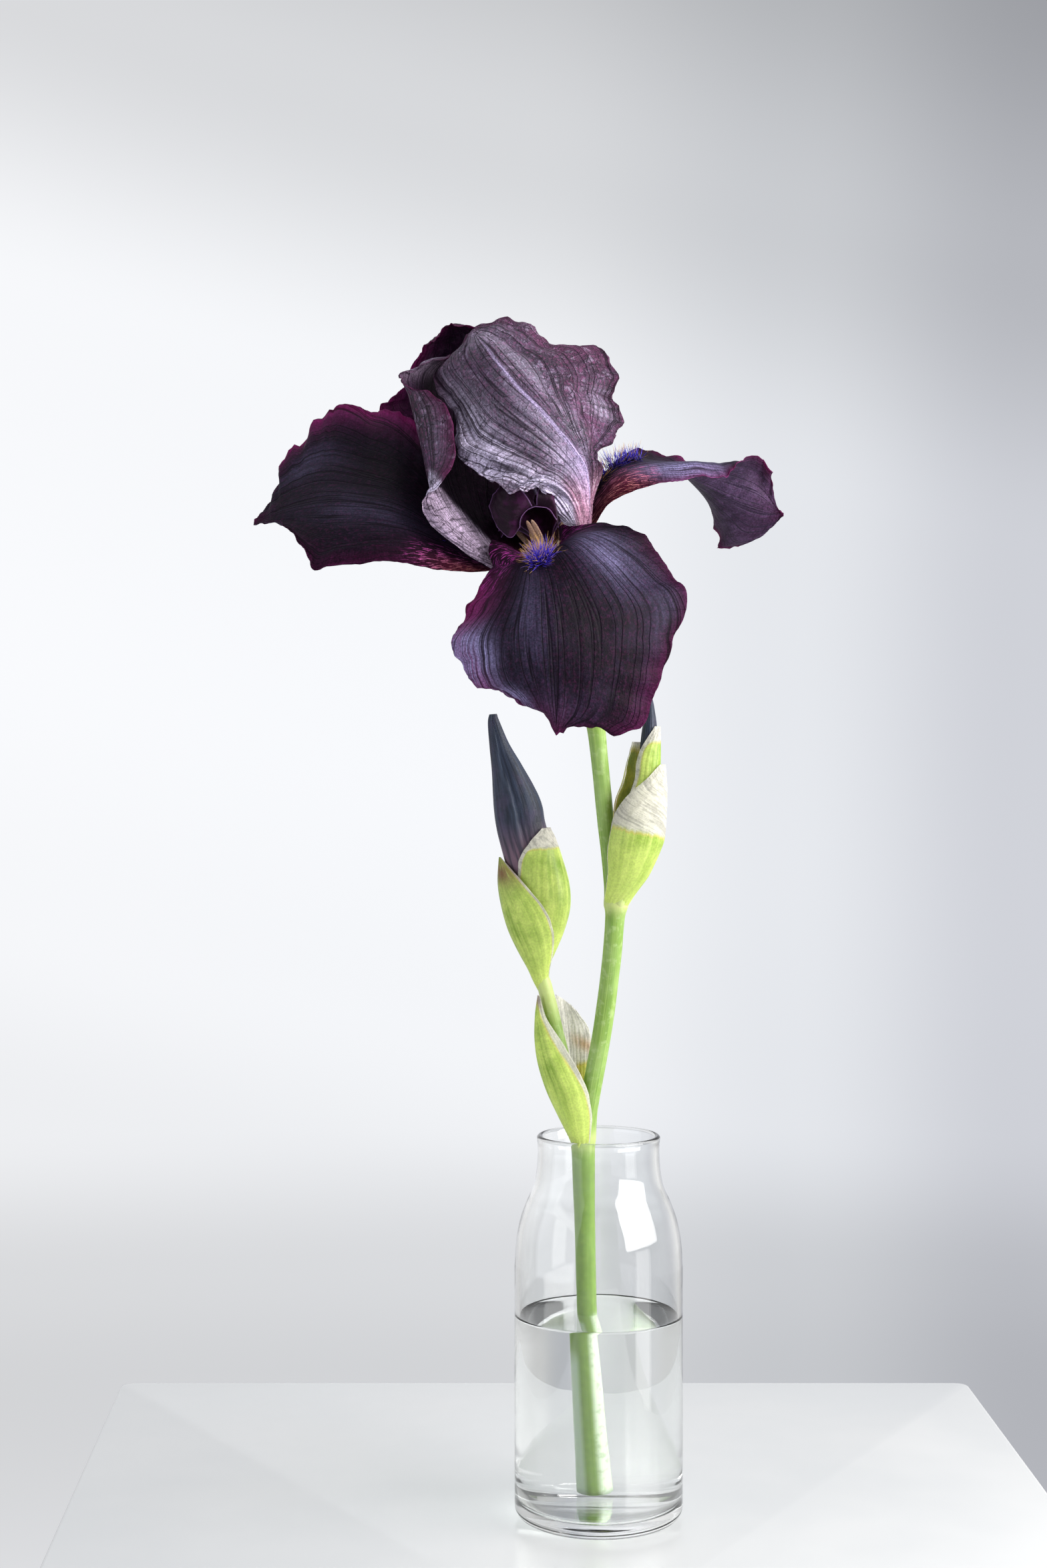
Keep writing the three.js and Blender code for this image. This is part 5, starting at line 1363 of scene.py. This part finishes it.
def petal_piece(name, materials):
    """
    A closed petal. The sheet over the rails is moved along its own normal by the ruffle, the
    frills and noise along the veins that grows towards the margins. Vein grooves are e to the
    minus square of a noise over 0.22. fan is the way across over about the way along, so that
    what follows it fans out from the claw. Half its thickness falls to a thin margin, and a
    midrib stands out behind.
    """
    look = petal_looks[name]
    seed = look["seed"]
    sheet = Sheet(look["cells"][0] + 1, look["cells"][1] + 1)
    u, v, side = sheet.u, sheet.v, sheet.side
    sheet.over(soften(rail_sheet(petal_rails[name], u, v), 3) + margin_shift(name, u, side))
    fan, values = petal_values(name, sheet)
    grows = smooth(0.1, 0.45, u) * (0.25 + 0.75 * np.abs(side) ** 1.5) * smooth(0.0, 0.06, 1 - u)
    crumple = layered_noise(fan * 3 + 20, u * 6 + 11, seed + 7)
    crumple = crumple + 0.3 * layered_noise(fan * 8 + 41, u * 15 + 3, seed + 57, 2)
    crease = 1 - 2 * np.abs(value_noise(fan * 4.5 + 5, u * 3.5 + 2, seed + 17))
    lift = ruffle_of(petal_ruffles[name], u, side) + margin_frills(name, sheet, seed)
    lift = lift + look["crumple"] * grows * (0.75 * crumple + 0.3 * crease)
    swell = 0.5 + 0.5 * value_noise(fan * 3, u * 3, seed + 27)
    groove = value_noise(fan * look["veins"] * 0.5 + 3, u * 2.0, seed + 37)
    ridge = -look["ridge"] * swell * np.exp(-(groove / 0.22) ** 2) * smooth(0.03, 0.2, u)
    ridge = ridge * smooth(0, 2.5, sheet.edge)
    thick = 0.09 + 0.2 * smooth(0, 5, sheet.edge)
    front, back = lift + ridge + thick, lift + ridge * 0.6 - thick
    rib = 0.55 * bump_at(v, 0.5, 0.022) * smooth(1.0, 0.3, u)
    if look["face"] > 0:
        back = back - rib
    else:
        front = front + rib
    points, quads = sheet.closed(front, back)
    kind = np.zeros(len(quads), int)
    faces = look["cells"][0] * look["cells"][1]
    kind[faces:2 * faces] = 1
    return put_mesh(name + "_skin", points, quads, None, materials, kind=kind,
                    maps={"Veins": (sheet.both(fan), sheet.both(u))},
                    values={key: sheet.both(value) for key, value in values.items()})


# The skin in front and the skin behind
petal_skins = {
    "fall_front": (fall_upper, fall_under),
    "fall_left": (fall_under, fall_upper),
    "fall_right": (fall_upper, fall_under),
    "standard_right": (standard_inner, standard_outer),
    "standard_left": (standard_outer, standard_inner),
    "standard_back": (standard_outer, standard_inner),
}
for petal_name, skins in petal_skins.items():
    settle(petal_piece(petal_name, skins), petal_name)


def sheath_rails(stations):
    """Nine rails round a path: middle + radius at bearings shared out between the margins."""
    x, y, z, radius, start, end = np.array(stations, float).T
    bearing = np.radians(start + (end - start) * np.linspace(0, 1, 9)[:, None])
    x = x + radius * np.cos(bearing)
    y = y + radius * bud_flattening * np.sin(bearing)
    return np.stack([x, y, np.broadcast_to(z, x.shape)], -1)


def sheath_piece(name, rails, material):
    """
    A closed sheath over its rails, moved along its normal by wrinkles that grow with its dryness
    and by fine lengthwise ridges. It thins from its middle to its margins.
    """
    look = {**sheath_usual, **sheath_looks[name]}
    seed = look["seed"]
    sheet = Sheet(90, 90)
    u, v, side = sheet.u, sheet.v, sheet.side
    frill = layered_noise(u * 14, side * 0 + 3 + np.sign(side), seed + 50)
    spread = 0.5 + (v - 0.5) * (1 - 0.02 * (1 + frill) * np.abs(side) ** 5)
    sheet.over(soften(rail_sheet(rails, u, spread), 2))
    dry = smooth(*look["dry"], u + look["slant"] * (v - 0.5))
    for margin, wide in zip((0, 1), look["margins"]):
        dry = dry + bump_at(v, margin, wide + look["widen"] * u ** 3)
    dry = dry + 0.15 * layered_noise(side * 3 + 7, u * 5, seed + 70)
    pale = 0.6 * bump_at(v, 0, 0.22) + 0.6 * bump_at(v, 1, 0.22) + smooth(0.62, 0.1, u) * 0.9
    stain = 0 * dry
    for at_u, at_v, wide_u, wide_v, strength in look["stains"]:
        stain = stain + strength * bump_at(u, at_u, wide_u) * bump_at(v, at_v, wide_v)
    crinkle = layered_noise(side * 3 + 4 * u, u * 11 - side * 2, seed + 90)
    lift = look["wrinkle"] * np.clip(dry, 0, 1) * crinkle * smooth(0, 0.1, u)
    lift = lift + 0.05 * np.cos(2 * np.pi * 11 * v) * smooth(0, 1.5, sheet.from_margins)
    thick = 0.1 + 0.22 * smooth(0, 3, sheet.from_margins)
    points, quads = sheet.closed(lift + thick, lift - thick)
    across, along = sheet.both(v), sheet.both(u)
    long_lines, cross_lines, slope = look["folds"]
    maps = {"Lengthwise": (across, along),
            "Wrinkles": (across * long_lines, along * cross_lines + across * slope)}
    values = {"dry": np.clip(dry, 0, 1.2), "stain": np.clip(stain, 0, 1),
              "pale": np.clip(pale * look["paleness"], 0, 1)}
    return put_mesh(name + "_skin", points, quads, None, [material], maps=maps,
                    values={key: sheet.both(value) for key, value in values.items()})


papery_nodes = ("sheath_lower_inner", "bud_right_sheath_back", "sheath_top_outer")
all_sheath_rails = {**lower_sheath_rails,
                    **{key: sheath_rails(stations) for key, stations in sheath_stations.items()}}
for sheath_name, rails in all_sheath_rails.items():
    skin, slot_name = green_sheath, "green_sheath"
    if sheath_name in papery_nodes:
        skin, slot_name = papery_sheath, "papery_sheath"
    settle(sheath_piece(sheath_name, rails, skin), sheath_name)


def stalk_piece():
    """
    Main stem and branches as tubes, closed at both ends, with node rings by colour. Shallow
    lengthwise ribs are cosines of 7 and 13 times the bearing, and noise wears them.
    """
    heap = Heap()
    around, along = [], []

    def ribbed(phase):
        """A shape of 1.07 times the radius, with the ribs and the wear of one tube."""
        def shape(t, angle, radius):
            """The radius, ribbed and worn."""
            ribs = 0.010 * np.cos(7 * angle + phase + 3 * t)
            ribs = ribs + 0.006 * np.cos(13 * angle + 2 * phase)
            worn = 0.025 * layered_noise(angle * 1.6 + phase, t * 40, 77)
            return radius * (1.07 + ribs + worn)
        return shape

    tube_foot = [*(throat - bloom_axis * 6), 3.9]
    tube_mouth = [*(throat - bloom_axis * tube_drop), 5.7]
    for stations, rings, phase in ((main_stalk + [tube_foot, tube_mouth], 420, 0.0),
                                   (left_branch, 120, 1.0), (right_branch, 60, 2.0)):
        points, quads, triangles, turn, length = tube(stations, rings, 40, shape=ribbed(phase))
        x, _, z = points.T
        node = sum(strength * bump_at(z, at, wide) for at, wide, strength in stalk_nodes)
        node = node + smooth(166, 184, z) * smooth(-12, -15, x)
        heap.add(points, quads, triangles, node=np.clip(node, 0, 1))
        around.append(turn)
        along.append(length)
    return heap.piece("stalk_skin_piece", [stalk_skin],
                      maps={"Lengthwise": (np.concatenate(around), np.concatenate(along))})


settle(stalk_piece(), "stalk")


def bud_piece(name, stations, start, seed):
    """
    Rolled petals: a tapering tube whose radius climbs by 8 percent over each third of a turn and
    drops back over a narrow edge. The edges wind up the bud and waver.
    """
    turns = 3

    def place_in_turn(t, angle):
        """From 0 at one rolled edge to 1 at the next."""
        waver = 0.10 * layered_noise(t * 9, t * 0 + 2, seed)
        return ((angle - start) / (2 * np.pi) * turns + 0.25 * t + waver) % 1.0

    def shape(t, angle, radius):
        """The radius with the climb, its drop and soft creases."""
        place = place_in_turn(t, angle)
        climb = smooth(0.0, 0.93, place) - smooth(0.955, 1.0, place)
        rolled = 1 + 0.08 * (climb - 0.5) * smooth(0.1, 0.3, t)
        crease = 0.02 * layered_noise(angle * 3, t * 12, seed + 5)
        return radius * (1.04 * rolled + crease)

    points, quads, triangles, turn, length = tube(stations, 150, 120, bud_flattening, shape)
    t = length / length.max()
    place = place_in_turn(t, turn * 2 * np.pi)
    roll = smooth(0.86, 0.95, place) * smooth(1.0, 0.985, place)
    return put_mesh(name + "_skin", points, quads, triangles, [bud_skin],
                    maps={"Lengthwise": (turn, length)}, values={"roll": roll, "along": t})


settle(bud_piece("bud_left_petals", left_bud, 5.04, 900), "bud_left_petals")
settle(bud_piece("bud_right_petals", right_bud, 3.6, 910), "bud_right_petals")


def arm_place(arm):
    """The throat + forward, side and rise, each times its coordinate and the arm's scale."""
    ahead = unit(np.array(arm["forward"], float))
    side = unit(np.cross(ahead, np.array(arm["up"], float)))
    axes = arm["scale"] * np.stack([ahead, side, np.cross(side, ahead)])
    return lambda rows: throat + np.array(rows, float) @ axes


def on_tube(points):
    """The same points, moved along the bloom's axis to just above the tube's end."""
    rise = (points - (throat - bloom_axis * tube_drop)) @ bloom_axis
    return points + (foot_rise - rise)[..., None] * bloom_axis


def blade(heap, rails, cells, frill, seed):
    """
    A closed blade over rails, wavering by noise towards its far margins. Half its thickness is
    from 0.08 mm at the edge to 0.2 mm at 2 mm from it.
    """
    sheet = Sheet(cells[0] + 1, cells[1] + 1)
    sheet.over(soften(rail_sheet(rails, sheet.u, sheet.v), 1))
    waver = frill * layered_noise(sheet.side * 4 + 3, sheet.u * 6, seed)
    waver = waver * smooth(0.1, 0.9, sheet.u)
    thick = 0.08 + 0.12 * smooth(0, 2, sheet.edge)
    heap.add(*sheet.closed(waver + thick, waver - thick), edge=sheet.both(sheet.edge))
    return sheet.both(sheet.side), sheet.both(sheet.u)


def style_piece(name, arm, seed):
    """A strap that arches over its fall, with a crest of two frilled lobes beyond its lip."""
    place = arm_place(arm)
    half = np.array(style_half, float)
    strap = np.array([place(half[:, k] * [1, hand, 1])
                      for k, hand in ((2, -1), (1, -1), (0, -1), (1, 1), (2, 1))])
    strap[:, 0] = on_tube(strap[:, 0])
    heap = Heap()
    maps = [blade(heap, strap, (60, 40), 0.25, seed)]
    for hand, spread in zip((1, -1), arm["crest"]):
        lobe = np.array(crest_lobe, float)
        wide = lobe[..., 1]
        wider = lip_half + (wide - lip_half) * spread
        lobe[..., 1] = hand * np.where(wide > lip_half, wider, wide)
        maps.append(blade(heap, place(lobe)[::hand], (44, 44), 0.7, seed + 9 * hand))
    across, along = (np.concatenate(parts) for parts in zip(*maps))
    return heap.piece(name + "_skin", [style_skin], maps={"Veins": (across, along)})


def stamen_piece(name, arm):
    """A thin filament, and two long sacs side by side with a groove along each."""
    place = arm_place(arm)
    heap = Heap()

    def placed(stations, shift):
        """The stations in the arm's place, shifted sideways."""
        rows = np.array(stations, float)
        rows[:, 1] += shift
        return np.concatenate([place(rows[:, :3]), rows[:, 3:]], 1)

    def sac(t, angle, radius):
        """The radius let in at both ends and along the grooves."""
        ends = np.sqrt(np.clip(1 - (2 * t - 1) ** 8, 0.05, 1))
        groove = 1 - 0.3 * bump_at(np.abs(np.sin(angle)), 1, 0.3)
        return 0.78 * radius * ends * groove * (1 + 0.08 * layered_noise(angle * 3, t * 12, 5))

    points, quads, triangles, _, length = tube(placed(filament_stations, 0), 24, 14)
    heap.add(points, quads, triangles, along=length / length.max() * 0.8)
    for shift in (0.8, -0.8):
        points, quads, triangles, _, _ = tube(placed(anther_stations, shift), 40, 24, 0.8, sac)
        heap.add(points, quads, triangles, along=1.2)
    return heap.piece(name + "_skin", [stamen_skin])


for number, (arm_name, arm) in enumerate(style_arms.items()):
    settle(style_piece(arm_name, arm, 700 + 20 * number), arm_name)
    stamen_name = arm_name.replace("style_arm", "stamen")
    settle(stamen_piece(stamen_name, arm), stamen_name)


def beard_piece(name, beard):
    """
    Hairs in a narrow band along the fall's midrib. A hair's way is the sheet's normal, turned
    sideways by a random angle and leaned along the fall by a random share. Hairs stand tallest in
    the middle of the row, and golden ones stand where it starts and at its sides.
    """
    draw = np.random.default_rng(beard["seed"])
    count = beard["hairs"]
    rails = np.array(petal_rails[beard["fall"]], float)
    place = draw.uniform(beard["from"], beard["to"], count)
    across = 0.51 + draw.normal(0, 0.028, count).clip(-0.06, 0.06)
    step = 0.01

    def at(u, v):
        """One point of the fall's sheet for each hair."""
        weights = curve_weights(len(rails), v), curve_weights(rails.shape[1], u)
        return np.einsum("nr,ns,rsk->nk", *weights, rails)

    root = at(place, across)
    ahead = unit(at(place + step, across) - at(place - step, across))
    sideways = at(place, across + step) - at(place, across - step)
    normal = unit(np.cross(ahead, sideways)) * beard["face"]
    side = np.cross(ahead, normal)
    fan = draw.normal(0, 0.9, count).clip(-1.6, 1.6)
    lean = beard["lean"] * draw.uniform(-1.3, 3.4, count)
    direction = unit(normal * np.cos(fan)[:, None] + side * np.sin(fan)[:, None]
                     + ahead * lean[:, None])
    middle = (place - beard["from"]) / (beard["to"] - beard["from"])
    tall = 0.72 + 0.28 * np.sin(np.pi * middle)
    golden = smooth(0.56, 0.2, middle + draw.normal(0, 0.12, count))
    golden = np.maximum(golden, 0.8 * smooth(0.8, 1.4, np.abs(fan)) * smooth(0.8, 0.4, middle))
    golden = np.maximum(golden, 0.48 * (draw.uniform(0, 1, count) < 0.55))
    golden = np.maximum(golden, draw.uniform(0, 1, count) < 0.05)
    length = beard["hair"] * tall * draw.uniform(0.75, 1.1, count) * (1 + 0.10 * golden)
    sag = unit(draw.normal(0, 1, (count, 3))) * 0.14
    points, quads, triangles, along = hair_heap(root, direction, length,
                                                draw.uniform(0.10, 0.16, count), sag)
    return put_mesh(name + "_hairs", points, quads, triangles, [beard_hair],
                    values={"along": along, "tint": np.repeat(golden, len(points) // count)})


for beard_name, beard in beards.items():
    settle(beard_piece(beard_name, beard), beard_name)


def arc(middle, radius, start, end, count=14):
    """Points of a circle's arc in a profile, from one bearing to another in degrees."""
    bearing = np.radians(np.linspace(start, end, count))
    return (np.array(middle) + radius * np.stack([np.cos(bearing), np.sin(bearing)], 1)).tolist()


def bottle_piece():
    """The bottle's profile of radius and height, turned about Z, wall and thick foot in one."""
    foot = [[0, 0.35], [14, 0.3], [22.5, 0.1], [24.5, 0]] + arc((25, 4), 4, -88, 0, 12)
    side = [[vase_radius, z] for z in np.linspace(8, 84, 40)]
    lip = [[21.02, 128.2]] + arc((20.25, 130.2), 1.05, -20, 175) + [[mouth_radius - wall, 129.2]]
    inner_shoulder = finer([[r - wall, z] for r, z in shoulder[::-1]])
    inner_side = [[vase_radius - wall, z] for z in np.linspace(84, 12, 36)]
    inner_foot = arc(foot_corner, 4.7, 0, -86) + [[12, 4.9], [0, 5.0]]
    profile = foot + side + finer(shoulder) + lip + inner_shoulder + inner_side + inner_foot
    points, quads, triangles = lathe(profile)
    return put_mesh("bottle_glass_body", points, quads, triangles, [glass])


def water_piece():
    """
    Water turned about Z, its side 0.2 mm into the glass, with a meniscus that climbs the wall: its
    height is the level + 0.9 mm times e to the minus distance from the wall over 1.1 mm.
    """
    edge = vase_radius - wall + 0.2
    foot = [[0, 4.8], [12, 4.7]] + arc(foot_corner, 4.9, -86, 0)
    side = [[edge, z] for z in np.linspace(12, water_level, 30)]
    gap = np.array([0, 0.15, 0.35, 0.6, 1.0, 1.5, 2.2, 3.2, 4.5])
    top = np.stack([edge - gap, water_level + 0.9 * np.exp(-gap / 1.1)], 1).tolist()
    flat = [[r, water_level] for r in np.linspace(edge - 6, 2, 14)] + [[0, water_level]]
    points, quads, triangles = lathe(foot + side + top + flat)
    return put_mesh("vase_water_body", points, quads, triangles, [water_clear])


settle(bottle_piece(), "vase")
settle(water_piece(), "water")


def table_finish():
    """Pale, slightly glossy table top with faint clouds."""
    f = Finish("table_top")
    cloud = f.between(f.noise(9.0), 0.3, 0.7)
    return f.done(f.surface(
        Base_Color=f.mix(cloud, (0.60, 0.615, 0.63), (0.64, 0.65, 0.66)),
        Roughness=f.plus(0.18, f.times(cloud, 0.08)), IOR=1.6,
        Normal=f.bump(f.noise(900.0, 2.0), 0.02, 0.3)))


def table_piece():
    """A thin slab with rounded edges: its outline's corners, carried down and in."""
    outline = []
    for k in range(4):
        before, here, after = table_corners[k - 1], table_corners[k], table_corners[(k + 1) % 4]
        a, b = unit(before - here) * 6, unit(after - here) * 6
        outline += [here + a * (1 - t) ** 2 + b * t ** 2 for t in np.linspace(0, 1, 8)]
    outline = np.array(outline)
    middle = table_corners.mean(0)
    rings = [np.pad(middle + (outline - middle) * (1 - inward / 180), ((0, 0), (0, 1)),
                    constant_values=height) for inward, height in table_edge]
    points = np.concatenate(rings + [[[*middle, -18.0], [*middle, 0.0]]])
    return put_mesh("table_slab", points, ring_quads(len(rings), len(outline)),
                    cap_triangles(len(rings), len(outline)), [table_finish()])


table_piece()

world = bpy.data.worlds.new("studio")
bpy.context.scene.world = world
world.use_nodes = True
sky = Nodes(world.node_tree)


def sky_band(share, *stops):
    """Brightness by the share, from -1 to 1, through stops of place and grey or colour."""
    share = sky.node("MapRange", {"Value": share, "From Min": -1.0, "From Max": 1.0}).outputs[0]
    made = sky.node("ValToRGB", {"Fac": share})
    ramp = made.color_ramp
    ramp.interpolation = "EASE"
    while len(ramp.elements) < len(stops):
        ramp.elements.new(0.5)
    for element, (place, tone) in zip(ramp.elements, stops):
        element.position = place
        element.color = (*tone, 1) if isinstance(tone, tuple) else (tone, tone, tone, 1)
    return made.outputs["Color"]


# The studio's brightness is a band from left to right, one from low to high on a slant, one from
# near to far and one close to the horizon, all multiplied.
way = sky.node("TexCoord").outputs["Generated"]
right, far, up = sky.node("SeparateXYZ", {"Vector": way}).outputs
light = sky_band(right, (0.0, 0.85), (0.25, 0.88), (0.37, (0.95, 0.96, 0.985)),
                 (0.5, (0.935, 0.95, 0.98)), (0.56, (0.80, 0.82, 0.86)),
                 (0.61, (0.635, 0.65, 0.70)), (0.72, 0.72), (0.84, 0.95), (1.0, 1.0))
for band in (
        sky_band(sky.plus(up, sky.times(right, 0.25)), (0.0, 0.95), (0.35, 0.88), (0.40, 0.90),
                 (0.44, 0.97), (0.5, 1.0), (0.58, 0.98), (0.64, 0.73), (0.70, 0.53), (0.77, 0.68),
                 (0.86, 0.88), (1.0, 0.95)),
        sky_band(far, (0.0, 0.58), (0.40, 0.58), (0.55, 0.64), (0.85, 0.95), (0.93, 1.0)),
        sky_band(up, (0.0, 1.0), (0.28, 1.0), (0.37, 0.78), (0.392, 0.83), (0.424, 1.0))):
    light = sky.mix(1.0, light, band, "MULTIPLY")
background = sky.node("Background", {"Color": light, "Strength": 1.0}).outputs[0]
sky.node("OutputWorld", {"Surface": background})

bloom_aim, bottle_aim = (-0.02, -0.03, 0.22), (0.02, -0.03, 0.05)
# Name, place and aim in metres, width and height in metres, watts, colour
lamps = [
    ("window", (0.62, -0.34, 0.50), bloom_aim, (0.78, 0.74), 13.6, (1.0, 0.985, 0.96)),
    ("window_fill", (-0.95, -0.44, 0.45), bloom_aim, (1.4, 1.2), 5.2, (0.92, 0.95, 1.0)),
    ("window_low", (0.64, -0.35, -0.14), bottle_aim, (0.30, 0.55), 0.9, (1.0, 0.99, 0.97)),
]
for lamp_name, place, aim, size, power, tint in lamps:
    lamp = bpy.data.lights.new(lamp_name, "AREA")
    lamp.shape = "RECTANGLE"
    lamp.size, lamp.size_y = size
    lamp.energy = power
    lamp.color = tint
    held = bpy.data.objects.new(lamp_name, lamp)
    bpy.context.scene.collection.objects.link(held)
    held.location = place
    held.rotation_euler = (Vector(aim) - Vector(place)).to_track_quat("-Z", "Y").to_euler()

camera = bpy.data.cameras.new("camera")
camera.sensor_fit = "AUTO"
camera.sensor_width = 36
camera.lens = 49.99
camera.clip_start = 0.01
eye = bpy.data.objects.new("camera", camera)
bpy.context.scene.collection.objects.link(eye)
eye.location = (-25.9 * MM, -752 * MM, 252.3 * MM)
eye.rotation_euler = (math.pi / 2, 0, 0)
bpy.context.scene.camera = eye
bpy.context.scene.view_settings.view_transform = "Standard"
